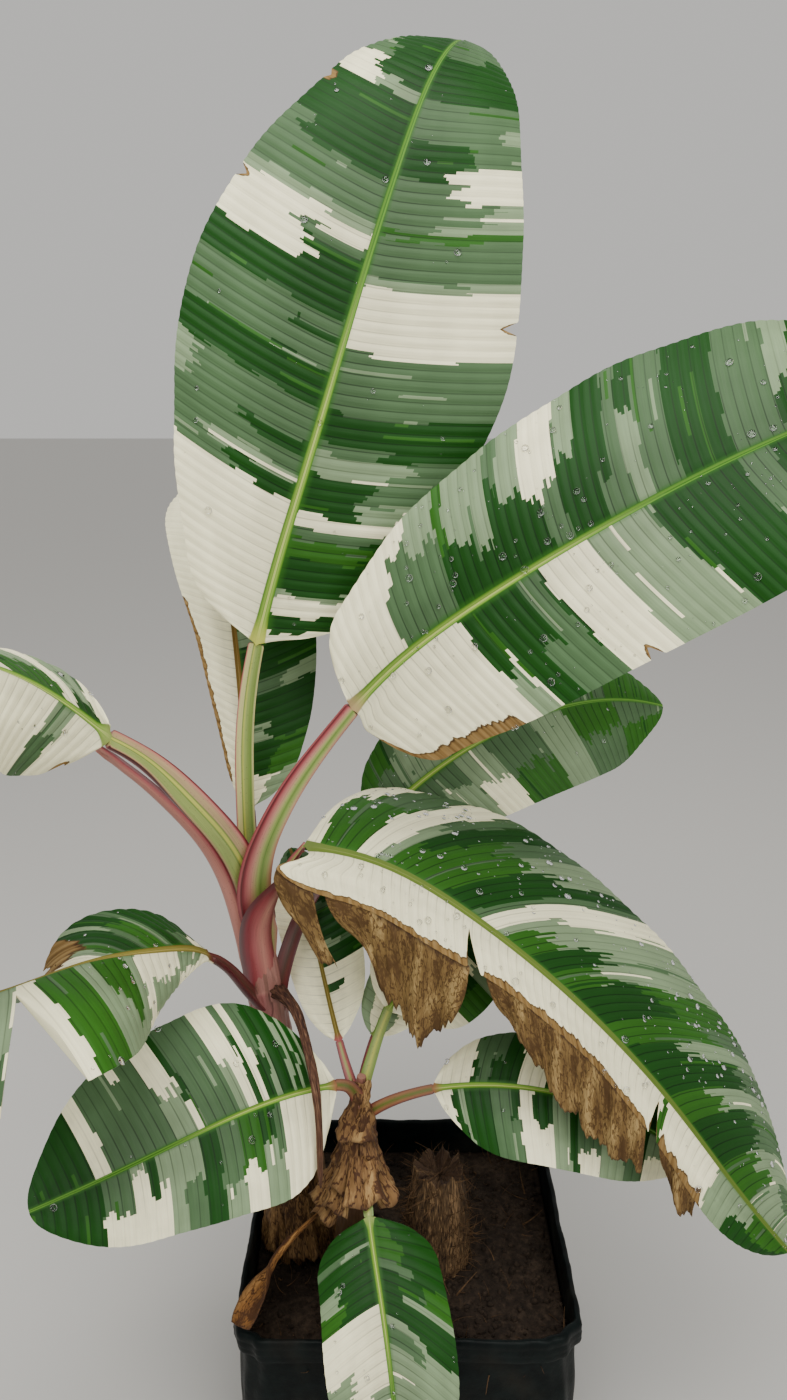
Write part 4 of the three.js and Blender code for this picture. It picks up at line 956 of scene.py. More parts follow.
# A stalk: channelled above, rounded below. Its foot runs down into the stem and narrows to a toe, or flares.
def stalkMesh(leaf):
    stalk, path = leaf["stalk"], leaf["stalkPath"]
    length = stalk["length"]
    last = leaf.get("facing") or leaf["blade"]["faces"][0]
    first = leaf.get("inward", last)
    footLength, footHalf = leaf.get("toe", (stalkWork["flare"] * stalk["half"][0] / 18, 0))
    rows = round((length + footLength) / stalkWork["rowSpacing"])
    count = stalkWork["shares"]
    rings, uvs, maps = [], [], []
    for r in range(rows + 2):
        f = mix(-footLength / length, 1, min(r / rows, 1))
        point, ahead = path(f)
        if "blade" in leaf:
            ahead = ahead.lerp(leaf["path"](0)[1], ease(0.82, 1.0, f)).normalized()
        if r > rows:
            point = point + ahead * stalkWork["join"]
        point = point + Vector((0, leaf.get("tuck", 0) * ease(0.4, 0.0, f), 0))
        upward = pointing(*first).lerp(pointing(*last), ease(0.3, 0.95, f))
        upward = (upward - ahead * upward.dot(ahead)).normalized()
        sideways = ahead.cross(upward)
        down = clamp(-f * length / footLength)
        narrowing = mix(1, footHalf / stalk["half"][0], down) if footHalf else 1 + stalkWork["spread"] * down
        slim = 1 if r <= rows else 0.9
        wide = through(stalk["half"], clamp(f)) * narrowing * slim
        deep = through(stalk["depth"], clamp(f)) * (mix(1, 0.6, down) if footHalf else 1) * slim
        top, bottom = [], []
        for k in range(count):
            s = 2 * k / (count - 1) - 1
            x = math.sin(s * math.pi / 2)
            groove = leaf.get("groove", 0.42) * math.cos(x * math.pi / 2)
            lip = 1 - 0.5 * max(0, abs(x) - 0.8) / 0.2
            top.append((x, deep * (0.36 * lip - groove)))
            bottom.append((x, -deep * math.cos(s * math.pi / 2) - 0.02 * deep))
        wilt = ease(0.86, 1.0, f) if "blade" not in leaf else 0
        ring, spots = [], []
        for side, points in ((0, top), (1, list(reversed(bottom)))):
            for x, y in points:
                ridge = wilt * 4 * wobble(x * 4, f * 12, 2.7)
                across = sideways * (wide * x * (1 + 0.25 * wilt))
                ring.append(point + across + upward * (y * (1 - 0.6 * wilt) + ridge))
                spots.append(((x + 1) / 2, f, side))
        rings.append(ring)
        uvs.append([(x, clamp(y)) for x, y, _ in spots])
        maps.append(spots)
    return shell(f"{leaf['name']}_stalk_mesh", rings, uvs, maps, sharp=60)


for leaf in leaves:
    name = leaf["name"]
    material = makeStalkMaterial(name, leaf["look"], leaf.get("blush", 0.25))
    slot = "green_stalk" if name in ("leaf_1", "leaf_4", "sucker_leaf_4") else "red_stalk"
    addPiece(f"{name}_stalk_skin", stalkMesh(leaf), material, slot, [f"{name}_stalk"])


print("scene: stems")


# The stem's wrapped sheaths: each runs down from its leaf, widens until it goes right round and ends in a
# raised margin that leans across the stem.
def stemMesh(name, stem, stemLeaves):
    path = stemRoute(stem)
    sheaths = []
    for leaf in stemLeaves:
        root = Vector(leaf["root"])
        axis = path(shareAtHeight(path, root.z))[0]
        sheaths.append((root.z, math.atan2(root.y - axis.y, root.x - axis.x)))
    sheaths.sort(reverse=True)
    length = (Vector(stem["head"]) - Vector((*stem["foot"], ground))).length
    rows, count = round(length / stem["spacing"]), stem["around"]
    rings, uvs, maps = [], [], []
    for r in range(rows + 1):
        f = r / rows
        point, ahead = path(f)
        radius = through(stem["radii"], f)
        side = Vector((1, 0, 0)) - ahead * ahead.x
        side.normalize()
        back = ahead.cross(side)
        covers = [0.55 + max(0, top - point.z) / 105 for top, _ in sheaths]
        usual = sum(min(cover / math.pi, 1) for cover in covers)
        ring, spots = [], []
        for k in range(count):
            turn = 2 * math.pi * k / count
            layers, outermost, margin = 0.0, 0, 9.0
            for i, ((top, bearing), cover) in enumerate(zip(sheaths, covers)):
                if point.z > top + 12:
                    continue
                apart = abs((turn - bearing + math.pi) % (2 * math.pi) - math.pi)
                apart += 0.05 * wobble(point.z / 45, i * 3.1, 1.7)
                inside = clamp((cover - apart) * radius / 2.2)
                layers += inside
                if inside > 0.5:
                    outermost = i
                    margin = 9.0
                if cover < math.pi:
                    margin = min(margin, abs(cover - apart) * radius)
            reach = radius + stem["layer"] * (layers - usual) + 0.35 * math.sin(turn * 23 + outermost)
            reach += 1.2 * wobble(math.cos(turn) * 1.5, math.sin(turn) * 1.5, point.z / 80)
            ring.append(point + side * (math.cos(turn) * reach) + back * (math.sin(turn) * reach))
            spots.append((clamp(1 - margin / 3), (outermost * 0.37) % 1, f))
        rings.append(ring)
        uvs.append([(k / count, f) for k in range(count + 1)])
        maps.append(spots)
    return shell(f"{name}_mesh", rings, uvs, maps, sharp=70)


stemColors = {
    "main_stem": [(0.0, (0.041, 0.022, 0.012)), (0.22, (0.074, 0.037, 0.021)), (0.45, (0.148, 0.052, 0.041)),
                  (0.68, (0.222, 0.063, 0.063)), (0.85, (0.296, 0.096, 0.100)), (1.0, (0.326, 0.141, 0.111))],
    "sucker_stem": [(0.0, (0.037, 0.021, 0.010)), (0.35, (0.096, 0.052, 0.022)), (0.7, (0.148, 0.052, 0.037)),
                    (0.88, (0.222, 0.067, 0.059)), (1.0, (0.296, 0.133, 0.096))],
}


def makeStemMaterial(name, length):
    material, shader = startMaterial(f"{name}_sheaths")
    place, veins = parts(pieceMap()), parts(pieceUv())
    color = ramp(place["Z"], stemColors[name])
    paler = blendColors(0.5, color, limbPaint["sheath"])
    color = blendColors(place["Y"] * fadeIn(place["Z"], 0.3, 0.9), color, paler)
    turning = veins["X"] * (2 * math.pi)
    wrapped = join(calc("COSINE", turning) * 0.5, veins["Y"] * (length * 0.8), calc("SINE", turning) * 0.5)
    fibres = useGroup(stalkFibres, {"Color": color, "Place": wrapped, "Around": 26.0, "Along": 5.0,
                                    "Stain": limbPaint["stain"], "Stained": 0.55})
    lined = blendColors(fadeIn(place["X"], 0.25, 1.0) * 0.8, fibres["Color"], limbPaint["margin"])
    lined = {"Color": lined, "Roughness": fibres["Roughness"], "Height": fibres["Height"]}
    finishMaterial(shader, lined, 0.45, 0.001)
    return material


mainLeaves = [leaf for leaf in leaves if not leaf["name"].startswith("sucker")]
suckerLeaves = [leaf for leaf in leaves if leaf["name"].startswith("sucker")]
for name, stem, stemLeaves, slot in (("main_stem", mainStem, mainLeaves, "stem"),
                                     ("sucker_stem", suckerStem, suckerLeaves, "dry_leaf")):
    mesh = stemMesh(name, stem, stemLeaves)
    length = (stem["head"][2] - ground) * mm * 10
    addPiece(f"{name}_sheaths", mesh, makeStemMaterial(name, length), slot, [name])


print("scene: dry parts")

hemPaint = (0.032, 0.014, 0.009, 1)


# Dry tissue: fibres along its second map value, both values in metres, darker toward its hems, with painted
# shade in thin lines along its crinkles.
def makeDryTones():
    tree, given, out = startGroup(
        "dryTones", {"Place": vectorIn, "Dark": colorIn, "Middle": colorIn, "Light": colorIn, "Fibre": 1.3},
        surfaceOut)
    split = parts(given["Place"])
    strength = 1.55 - given["Fibre"]
    lengthwise = split["Y"] * (strength * 100.0 + 35.0)
    place = join(split["X"] * 520.0, lengthwise)
    warp = noiseAt(place, 0.12, 2.0)
    bent = join(split["X"] * 520.0 + warp * 7.0, lengthwise)
    fibres = noiseAt(bent, 1.0, 5.0)
    patches = noiseAt(place, 0.06, 3.0)
    crinkle = noiseAt(bent, 0.3, 3.0)
    # painted shade: thin dark lines along the crinkles stand for the shade in their creases
    crease = abs(crinkle - 0.5)
    creaseShade = (1.0 - fadeIn(crease, 0.0, 0.05)) * strength
    broad = (patches - 0.5) * (strength + 0.65) + 0.5
    shade = broad + (fibres - 0.5) * given["Fibre"]
    shade = shade - creaseShade * 0.3
    low = blendColors(fadeIn(shade, 0.28, 0.5), given["Dark"], given["Middle"])
    color = blendColors(fadeIn(shade, 0.5, 0.72), low, given["Light"])
    hem = fadeIn(split["Z"], 0.2, 1.0) * 0.82
    color = blendColors(hem, color, hemPaint)
    relief = crinkle * 2.0 + fibres * given["Fibre"] + patches * 0.6
    plugSurface(out, color, fibres * 0.25 + 0.62, relief)
    return tree


dryTones = makeDryTones()


def makeDryMaterial(name, dark, middle, light, fibre):
    material, shader = startMaterial(name, **{"Specular IOR Level": 0.25})
    tones = useGroup(dryTones, {"Place": pieceMap(), "Dark": (*dark, 1), "Middle": (*middle, 1),
                                "Light": (*light, 1), "Fibre": fibre})
    finishMaterial(shader, tones, 0.7, 0.0012)
    return material


# A thin sheet on a surface of two shares, thinner at its hems. `size` is its real width and height.
def sheet(name, surface, size, thickness, spacing, hemAt):
    across, along = (max(6, round(extent / spacing)) for extent in size)
    grid = [[surface(i / across, j / along) for i in range(-1, across + 2)] for j in range(-1, along + 2)]
    rings, uvs, maps = [], [], []
    for j in range(along + 1):
        over, under, spots = [], [], []
        for i in range(across + 1):
            left, right = grid[j + 1][i], grid[j + 1][i + 2]
            above, below = grid[j][i + 1], grid[j + 2][i + 1]
            normal = (right - left).cross(below - above).normalized()
            a, b = i / across, j / along
            thin = thickness / 2 * (0.35 if j in (0, along) or i in (0, across) else 1)
            over.append(grid[j + 1][i + 1] + normal * thin)
            under.append(grid[j + 1][i + 1] - normal * thin)
            spots.append((a * size[0] * mm, b * size[1] * mm, hemAt(a, b)))
        rings.append(over + under[::-1])
        flat = [(x / (size[0] * mm), y / (size[1] * mm)) for x, y, _ in spots]
        uvs.append(flat + flat[::-1])
        maps.append(spots + spots[::-1])
    return shell(name, rings, uvs, maps, sharp=0)


def joined(name, meshes):
    work = bmesh.new()
    for mesh in meshes:
        work.from_mesh(mesh)
        bpy.data.meshes.remove(mesh)
    mesh = bpy.data.meshes.new(name)
    work.to_mesh(mesh)
    work.free()
    return mesh


# The dead margin of the third leaf. It leaves the living edge in its slope, then hangs and narrows.
dryMargin = {
    "outward": 10, "spacing": 2.4, "thickness": 1.3,
    "crumple": 7, "wrinkle": 1.5, "ragged": 0.16, "hem": 0.09,
    "tones": [(0.075, 0.038, 0.012), (0.175, 0.105, 0.035), (0.34, 0.23, 0.092), 0.45],
    "flaps": [
        {"from": 0.01, "to": 0.052, "drops": [60, 95, 112], "gather": 0.25, "shift": 40},
        {"from": 0.064, "to": 0.285, "drops": [60, 120, 150, 140, 90], "gather": 0.3, "shift": 6},
        {"from": 0.315, "to": 0.665, "drops": [45, 85, 110, 100, 70], "gather": 0.1, "shift": 10},
        {"from": 0.705, "to": 0.82, "drops": [25, 50, 30], "gather": 0.2, "shift": 8},
    ],
}


def flapMesh(number, flap):
    leaf = leaves[2]
    span = (flap["to"] - flap["from"]) * leaf["blade"]["length"]
    tall = max(flap["drops"])

    def surface(a, b):
        gathered = mix(a, 0.5, flap["gather"] * clamp(b) ** 2)
        f = mix(flap["from"], flap["to"], gathered)
        edge, normal = bladePoint(leaf, f, 1, leftByTears(leaf, "right", f, f))
        inner = bladePoint(leaf, f, 0.96)[0]
        outwards = (edge - inner).normalized()
        place = a * span
        ragged = 1 + dryMargin["ragged"] * (wobble(place / 26, number) + 0.7 * wobble(place / 7, 5 + number))
        drop = through(flap["drops"], clamp(a)) * b * mix(1, ragged, clamp(b))
        level = min(drop / 2, dryMargin["outward"])
        wave = dryMargin["crumple"] * b * math.sin((gathered * span / leaf["blade"]["length"]) * 95 + 2.2 * b)
        wrinkle = wobble(place / 5.5, drop / 46, 7 + number)
        wrinkle += 0.6 * wobble(place / 14 + drop / 60, drop / 30, 9)
        curl = 3.2 * math.exp(-(b / 0.045) ** 2) * wobble(place / 9, 2.5, number)
        onwards = bladePoint(leaf, f + 0.01, 1)[0] - bladePoint(leaf, f, 1)[0]
        point = edge + outwards * (level - 1.5) + Vector((0, 0, level - drop)) - normal * 1.2
        point = point + onwards.normalized() * (flap["shift"] * b * b)
        return point + normal * (wave + curl + dryMargin["wrinkle"] * 1.6 * wrinkle * clamp(b * 9))

    def hemAt(a, b):
        place = a * span
        top = clamp(1 - b / (dryMargin["hem"] * (1 + 1.2 * wobble(place / 8, 1.5, number))))
        low = clamp((b - 0.93) / 0.07) * 0.7
        return max(top, low)

    return sheet(f"dry_flap_{number}_mesh", surface, (span, tall), dryMargin["thickness"],
                 dryMargin["spacing"], hemAt)


flapMaterial = makeDryMaterial("dry_margin", *dryMargin["tones"])
for number, flap in enumerate(dryMargin["flaps"], 1):
    name = f"dry_flap_{number}"
    addPiece(f"{name}_sheet", flapMesh(number, flap), flapMaterial, "dry_leaf", [name])


# Torn layers of dry sheath round a stem. Each runs between two bearings from the front and two heights, and
# leaves the stem from one reach to another, with a lean, a curl of its hem and a darkness of its own.
def wrapMesh(name, path, wrap, seed):
    dice = random.Random(seed)
    meshes = []
    for number, layer in enumerate(wrap["layers"]):
        (start, end), (top, bottom), (near, far), lean, curl, shade = layer
        phase = dice.uniform(0, 6)
        width = math.radians(end - start) * (near + far) / 2

        def surface(a, b):
            tall = top - bottom
            low = wobble(a * width / 16, number, seed) + wrap["fray"] * wobble(a * width / 5, number, seed)
            high = wobble(a * width / 14, number + 4, seed)
            height = mix(top + wrap["ragged"] * tall * 0.5 * high, bottom - wrap["ragged"] * tall * low, b)
            point = path(shareAtHeight(path, height))[0]
            taper = 1 - wrap["taper"] * clamp(b) ** 2
            bearing = math.radians(mix(start, end, 0.5 + (a - 0.5) * taper) - 90)
            folds = wrap["folds"] * b * math.sin(a * width / wrap["pleat"] + b * 2.4 + phase)
            place = a * width / wrap["crumpleSize"]
            crumple = wobble(place, b * tall / 26, seed + number)
            crumple += 0.45 * wobble(place * 2.5, b * tall / 11, seed + number)
            reach = mix(near, far, b * b) + folds + wrap["crumple"] * crumple * clamp(0.2 + b)
            reach += curl * max(0, b - 0.7) ** 2 * 11
            flat = Vector((math.cos(bearing), math.sin(bearing), 0)) * reach
            rise = 0.8 * folds + abs(curl) * max(0, b - 0.75) ** 2 * 5
            return Vector((point.x, point.y, height + rise)) + flat + Vector(lean) * b * b

        def hemAt(a, b):
            edge = min(a, 1 - a) * 12
            dark = max(clamp((b - 0.9) / 0.1) * 0.7, clamp(0.8 - edge) * 0.8, 0.5 * clamp(1 - b / 0.08))
            return clamp(max(dark, shade))

        size = (width, top - bottom)
        meshes.append(sheet(f"{name}_{number}", surface, size, wrap["thickness"], wrap["spacing"], hemAt))
    return joined(f"{name}_mesh", meshes)


mainPath, suckerPath = stemRoute(mainStem), stemRoute(suckerStem)

collar = {
    "folds": 2.5, "pleat": 7, "crumple": 11, "crumpleSize": 24, "ragged": 0.16, "spacing": 2.2, "taper": 0.1,
    "thickness": 1.3, "fray": 0.15,
    "tones": [(0.06, 0.024, 0.009), (0.21, 0.112, 0.042), (0.4, 0.25, 0.1), 0.4],
    "layers": [
        ((-120, -66), (590, 476), (24, 42), (-2, -8, 0), 5, 0.5),
        ((-90, -34), (576, 466), (26, 48), (-8, -16, 0), 3, 0.25),
        ((-62, -14), (560, 450), (27, 54), (-8, -20, 0), 3, 0.1),
        ((-46, 8), (600, 500), (22, 46), (-4, -16, 0), 4, 0.4),
        ((-44, 2), (574, 476), (24, 60), (-6, -18, 0), 5, 0.1),
        ((-18, 42), (590, 492), (21, 70), (3, -16, 0), 3, 0.0),
        ((4, 52), (606, 516), (21, 44), (6, -14, 0), 4, 0.45),
        ((26, 76), (572, 474), (25, 58), (12, -16, 0), 5, 0.08),
        ((50, 112), (586, 470), (24, 46), (8, -8, 0), 4, 0.4),
        ((-85, 85), (652, 566), (13, 30), (0, -4, 0), 2, 0.35)],
}
sheath = {
    "folds": 2.5, "pleat": 4.2, "crumple": 5, "crumpleSize": 15, "ragged": 0.2, "spacing": 2.6, "taper": 0.15,
    "thickness": 1.3, "fray": 0.6,
    "tones": [(0.045, 0.021, 0.008), (0.17, 0.09, 0.034), (0.34, 0.2, 0.08), 0.8],
    "layers": [
        ((-125, -66), (470, 290), (46, 55), (0, 0, 0), 2, 0.3),
        ((-78, -30), (446, 300), (49, 62), (-4, -4, 0), 3, 0.1),
        ((-40, 12), (462, 286), (47, 58), (0, -4, 0), 0, 0.35),
        ((-18, 26), (408, 312), (53, 68), (2, -8, 0), 4, 0.0),
        ((8, 70), (470, 284), (47, 57), (2, -2, 0), 1, 0.25),
        ((56, 120), (444, 296), (48, 56), (0, 0, 0), 2, 0.4)],
}
for name, path, wrap, seed in (("dry_collar", suckerPath, collar, 11), ("dry_sheath", mainPath, sheath, 23)):
    material = makeDryMaterial(name, *wrap["tones"])
    addPiece(f"{name}_layers", wrapMesh(name, path, wrap, seed), material, "dry_leaf", [name])

deadStalk = {
    "points": [(-188, -22, 752), (-160, -72, 752), (-137, -140, 728), (-122, -190, 682), (-118, -214, 568)],
    "radii": [13, 8, 6.5, 6, 4.5], "around": 30, "rows": 110, "ridges": 7, "ridge": 0.16,
    "tones": [(0.028, 0.011, 0.008), (0.085, 0.036, 0.02), (0.2, 0.11, 0.06), 1.3],
}


def deadStalkMesh():
    path = curveThrough(deadStalk["points"])
    rows, count = deadStalk["rows"], deadStalk["around"]
    rings, uvs, maps = [], [], []
    for r in range(rows + 1):
        f = r / rows
        point, ahead = path(f)
        side = ahead.cross(Vector((0.4, 0.2, 1))).normalized()
        back = ahead.cross(side)
        knots = 1 + 0.12 * wobble(f * 14, 1.5)
        radius = through(deadStalk["radii"], f) * knots * min(1, (1 - f) * 12 + 0.3)
        ring, spots = [], []
        for k in range(count):
            turn = 2 * math.pi * k / count
            ridges = 1 + deadStalk["ridge"] * math.cos(deadStalk["ridges"] * turn + 3 * wobble(f * 5, 3.5))
            reach = radius * ridges
            ring.append(point + side * (math.cos(turn) * reach) + back * (math.sin(turn) * reach * 0.8))
            hem = 0.6 * ease(0.9, 1, f) + 0.5 * ease(0.12, 0, f)
            spots.append((abs(math.sin(turn / 2)) * 0.03, f * 0.3, hem))
        rings.append(ring)
        uvs.append([(k / count, f) for k in range(count + 1)])
        maps.append(spots)
    return shell("dead_stalk_mesh", rings, uvs, maps, sharp=0)


deadMaterial = makeDryMaterial("dead_stalk", *deadStalk["tones"])
addPiece("dead_stalk_fibres", deadStalkMesh(), deadMaterial, "dry_leaf", ["dead_stalk"])

dryStrip = {
    "points": [(-100, -84, 446), (-150, -128, 432), (-192, -168, 412), (-214, -198, 384), (-232, -238, 362)],
    "widths": [3, 4, 14, 24, 14], "twist": (40, 190), "length": 240, "thickness": 1.4, "spacing": 2.2,
    "tones": [(0.07, 0.028, 0.01), (0.26, 0.115, 0.03), (0.48, 0.25, 0.08), 0.5],
}


def stripMesh():
    path = curveThrough(dryStrip["points"])

    def surface(a, b):
        share = clamp(b)
        point, ahead = path(b)
        turn = math.radians(mix(*dryStrip["twist"], b))
        side = ahead.cross(Vector((0, 0, 1))).normalized()
        rise = side.cross(ahead)
        cup = 1.1 * math.cos(math.pi * (a - 0.5)) * through(dryStrip["widths"], share)
        reach = (2 * a - 1) * through(dryStrip["widths"], share) * (1 + 0.2 * wobble(b * 9, a * 2, 4.5))
        flat = side * math.cos(turn) + rise * math.sin(turn)
        up = rise * math.cos(turn) - side * math.sin(turn)
        crumple = 2.4 * wobble(a * 5, b * 11, 6.5) * share
        return point + flat * reach + up * (0.5 * cup + crumple)

    def hemAt(a, b):
        return max(clamp(0.3 - min(a, 1 - a)) * 2.4, clamp((b - 0.9) * 8))

    size = (2 * max(dryStrip["widths"]), dryStrip["length"])
    return sheet("dry_strip_mesh", surface, size, dryStrip["thickness"], dryStrip["spacing"], hemAt)


stripMaterial = makeDryMaterial("dry_strip", *dryStrip["tones"])
addPiece("dry_strip_curl", stripMesh(), stripMaterial, "dry_leaf", ["dry_strip"])


print("scene: soil, stump and bag")

halfTurn = 3.14  # how far a scattered shape turns about its own axis, either way


# Scatters copies of a small shape over a surface, standing along its normals and a little tilted.
def makeScatterTree():
    tree, given, out = startGroup(
        "scatteredShapes",
        {"Geometry": geometryIn, "Shape": "NodeSocketObject", "Density": 100.0, "Seed": 1, "Smallest": 0.5,
         "Largest": 1.0, "Rarity": 1.0, "Tilt": 0.0, "Patches": 0.0, "Material": materialIn},
        {"Geometry": geometryIn}, "GeometryNodeTree")
    under = parts(named("leafMap"))["Z"] > 0.5
    kept = put("GeometryNodeDeleteGeometry", {"Geometry": given["Geometry"], "Selection": under})
    place = put("GeometryNodeInputPosition")[0]
    patch = fadeIn(noiseAt(place, 11.0, 1.0), 0.38, 0.62)
    density = given["Density"] * ((patch - 1.0) * given["Patches"] + 1.0)
    points = put("GeometryNodeDistributePointsOnFaces",
                 {"Mesh": kept[0], "Density": density, "Seed": given["Seed"]})
    roll = put("FunctionNodeRandomValue", {"Min": 0.0, "Max": 1.0, "Seed": given["Seed"]}, data_type="FLOAT")
    chance = roll[1] ** given["Rarity"]
    span = given["Largest"] - given["Smallest"]
    size = chance * span + given["Smallest"]
    tilt = join(given["Tilt"], given["Tilt"], halfTurn)
    back = put("ShaderNodeVectorMath", {0: tilt, "Scale": -1.0}, operation="SCALE")[0]
    lean = put("FunctionNodeRandomValue", {0: back, 1: tilt}, data_type="FLOAT_VECTOR")[0]
    turned = put("FunctionNodeRotateRotation",
                 {"Rotation": points["Rotation"],
                  "Rotate By": put("FunctionNodeEulerToRotation", {"Euler": lean})[0]},
                 rotation_space="LOCAL")
    shape = put("GeometryNodeObjectInfo", {"Object": given["Shape"]})
    copies = put("GeometryNodeInstanceOnPoints", {"Points": points["Points"], "Instance": shape["Geometry"],
                                                  "Rotation": turned[0], "Scale": size})
    finishTree(out, copies[0], given["Material"])
    return tree


scatterTree = makeScatterTree()


# A small shape to scatter. It is removed again once its copies are made.
def scatterPiece(name, surface, shape, material, slot, values):
    holder = bpy.data.objects.new(f"{name}_shape", shape)
    bpy.context.scene.collection.objects.link(holder)
    holder.hide_render = True
    mesh = runTree(surface, scatterTree, {**values, "Shape": holder, "Material": material})
    bpy.data.objects.remove(holder)
    mesh.name = f"{name}_mesh"
    return addPiece(name, mesh, None, slot)


def smallShape(name, kind, bend=None, **settings):
    work = bmesh.new()
    getattr(bmesh.ops, kind)(work, **settings)
    for vertex in work.verts if bend else ():
        vertex.co = bend(vertex.co)
    mesh = bpy.data.meshes.new(name)
    work.to_mesh(mesh)
    work.free()
    mesh.polygons.foreach_set("use_smooth", [True] * len(mesh.polygons))
    return mesh


# A blade of dry fibre, standing on the ground of its own shape.
def strandShape(name, length, width, curl):
    rings = 5
    path = [Vector((curl * (k / rings) ** 2, 0, length * k / rings)) for k in range(rings + 1)]
    points = []
    for k, point in enumerate(path):
        reach = width * (1 - 0.8 * k / rings)
        points += [point + Vector((0, reach, 0)), point + Vector((reach * 0.6, -reach, 0)),
                   point + Vector((-reach * 0.6, -reach, 0))]
    faces = [(0, 2, 1), (rings * 3, rings * 3 + 1, rings * 3 + 2)]
    for k in range(rings):
        for s in range(3):
            a, b = k * 3 + s, k * 3 + (s + 1) % 3
            faces.append((a, b, b + 3, a + 3))
    mesh = bpy.data.meshes.new(name)
    mesh.from_pydata(points, [], faces)
    return mesh


def squareRing(half, height, corner, count=200):
    perSide = count // 4
    ring = []
    straight = 2 * (half - corner)
    quarter = corner * math.pi / 2
    for side in range(4):
        turn = side * math.pi / 2
        out = Vector((math.cos(turn), math.sin(turn), 0))
        ahead = Vector((-out.y, out.x, 0))
        for k in range(perSide):
            reach = k / perSide * (straight + quarter)
            if reach < straight:
                ring.append(out * half + ahead * (reach - straight / 2) + Vector((0, 0, height)))
            else:
                angle = (reach - straight) / corner
                centre = out * (half - corner) + ahead * (half - corner)
                ring.append(centre + (out * math.cos(angle) + ahead * math.sin(angle)) * corner
                            + Vector((0, 0, height)))
    return ring


soil = {
    "half": 234, "corner": 50, "top": 280, "clump": 7, "levels": [6, 80, 160, 240, 274],
    "rings": 46,  # from the wall to the middle
    "earth": [(0.006, 0.004, 0.003), (0.06, 0.04, 0.027), 90.0],
    "scraps": [(0.022, 0.012, 0.006), (0.17, 0.095, 0.045), 60.0],
}


def soilMesh():
    rings = [squareRing(soil["half"], height, soil["corner"]) for height in soil["levels"]]
    maps = [[(0, 0, 1)] * len(rings[0]) for _ in rings]
    for k in range(soil["rings"]):
        share = 1 - k / soil["rings"]
        ring = squareRing(soil["half"] * share, soil["top"], soil["corner"] * share)
        for point in ring:
            rough = wobble(point.x / 38, point.y / 38, 2) + 0.5 * wobble(point.x / 14, point.y / 14, 5)
            rough += 0.25 * wobble(point.x / 6, point.y / 6, 8)
            edge = ease(0, 0.1, 1 - share)
            point.z += soil["clump"] * rough * edge - 4 * (1 - edge)
        rings.append(ring)
        maps.append([(0, 0, 0)] * len(ring))
    uvs = [[((p.x + 240) / 480, (p.y + 240) / 480) for p in ring] for ring in rings]
    return shell("soil_mesh", rings, uvs, maps, sharp=0)


def makeEarthMaterial(name, dark, light, scale):
    material, shader = startMaterial(name, **{"Specular IOR Level": 0.2})
    place = objectPlace()
    grains = noiseAt(place, scale, 8.0, 0.75)
    shade = grains * 0.7 + noiseAt(place, scale / 7, 3.0) * 0.35
    middle = tuple((a * 2 + b) / 3 for a, b in zip(dark, light))
    color = ramp(shade, [(0.36, dark), (0.52, middle), (0.68, light)])
    finishMaterial(shader, {"Color": color, "Roughness": 0.95, "Height": grains}, 0.9, 0.003)
    return material


earthMaterial = makeEarthMaterial("moist_soil", *soil["earth"])
surface = soilMesh()
addPiece("soil_bed", surface.copy(), earthMaterial, "soil", ["soil"])
crumb = smallShape("crumb", "create_icosphere", subdivisions=1, radius=0.005,
                   bend=lambda co: co * (1 + 0.5 * noise.noise(co * 300)))
scatterPiece("soil_crumbs", surface.copy(), crumb, earthMaterial, "soil",
             {"Density": 9000.0, "Seed": 4, "Smallest": 0.2, "Largest": 1.3, "Rarity": 3.0, "Tilt": 1.5})
scrapMaterial = makeEarthMaterial("leaf_scraps", *soil["scraps"])
strand = strandShape("strand", 0.032, 0.0011, 0.014)
scatterPiece("soil_strands", surface, strand, scrapMaterial, "soil",
             {"Density": 900.0, "Seed": 9, "Smallest": 0.35, "Largest": 1.5, "Rarity": 1.6, "Tilt": 1.35})

stump = {
    "at": (44, -18), "height": 165, "lean": (8, 6), "radii": [56, 50, 47, 44, 38], "around": 110, "rows": 64,
    "folds": 4.5, "tones": [(0.02, 0.011, 0.006), (0.08, 0.047, 0.022), (0.24, 0.145, 0.07), 1.3],
}


def stumpMesh():
    base = Vector((*stump["at"], ground - 6))
    rows, count = stump["rows"], stump["around"]
    rings, uvs, maps = [], [], []
    for r in range(rows + 12):
        f = min(r / rows, 1)
        inward = max(0, r - rows) / 12
        radius = through(stump["radii"], f) * (1 - inward)
        ring, spots = [], []
        for k in range(count):
            turn = 2 * math.pi * k / count
            x, y = math.cos(turn), math.sin(turn)
            folds = wobble(x * 2.2, y * 2.2, f * 1.3) + 0.8 * wobble(x * 6, y * 6, f * 2 + 4)
            bark = stump["folds"] * folds + 1.5 * math.sin(turn * 3 + 5 * f)
            bark += 1.2 * wobble(x * 14, y * 14, f * 6)
            ragged = 12 * (wobble(x * 3, y * 3, 9) + 0.6 * wobble(x * 9, y * 9, 3)) * ease(0.8, 1, f)
            height = stump["height"] * f + ragged * (1 - inward)
            height += 7 * wobble(x * 5, y * 5, inward * 9) - 16 * inward
            reach = radius + bark * (1 - inward)
            lean = Vector((*stump["lean"], 0)) * f
            ring.append(base + lean + Vector((x * reach, y * reach, height)))
            spots.append((turn * 0.05, f * 0.17, 0.35 * ease(0.85, 1, f) + 0.35 * (inward > 0)))
        rings.append(ring)
        uvs.append([(k / count, r / (rows + 12)) for k in range(count + 1)])
        maps.append(spots)
    return shell("old_stump_mesh", rings, uvs, maps, sharp=0)


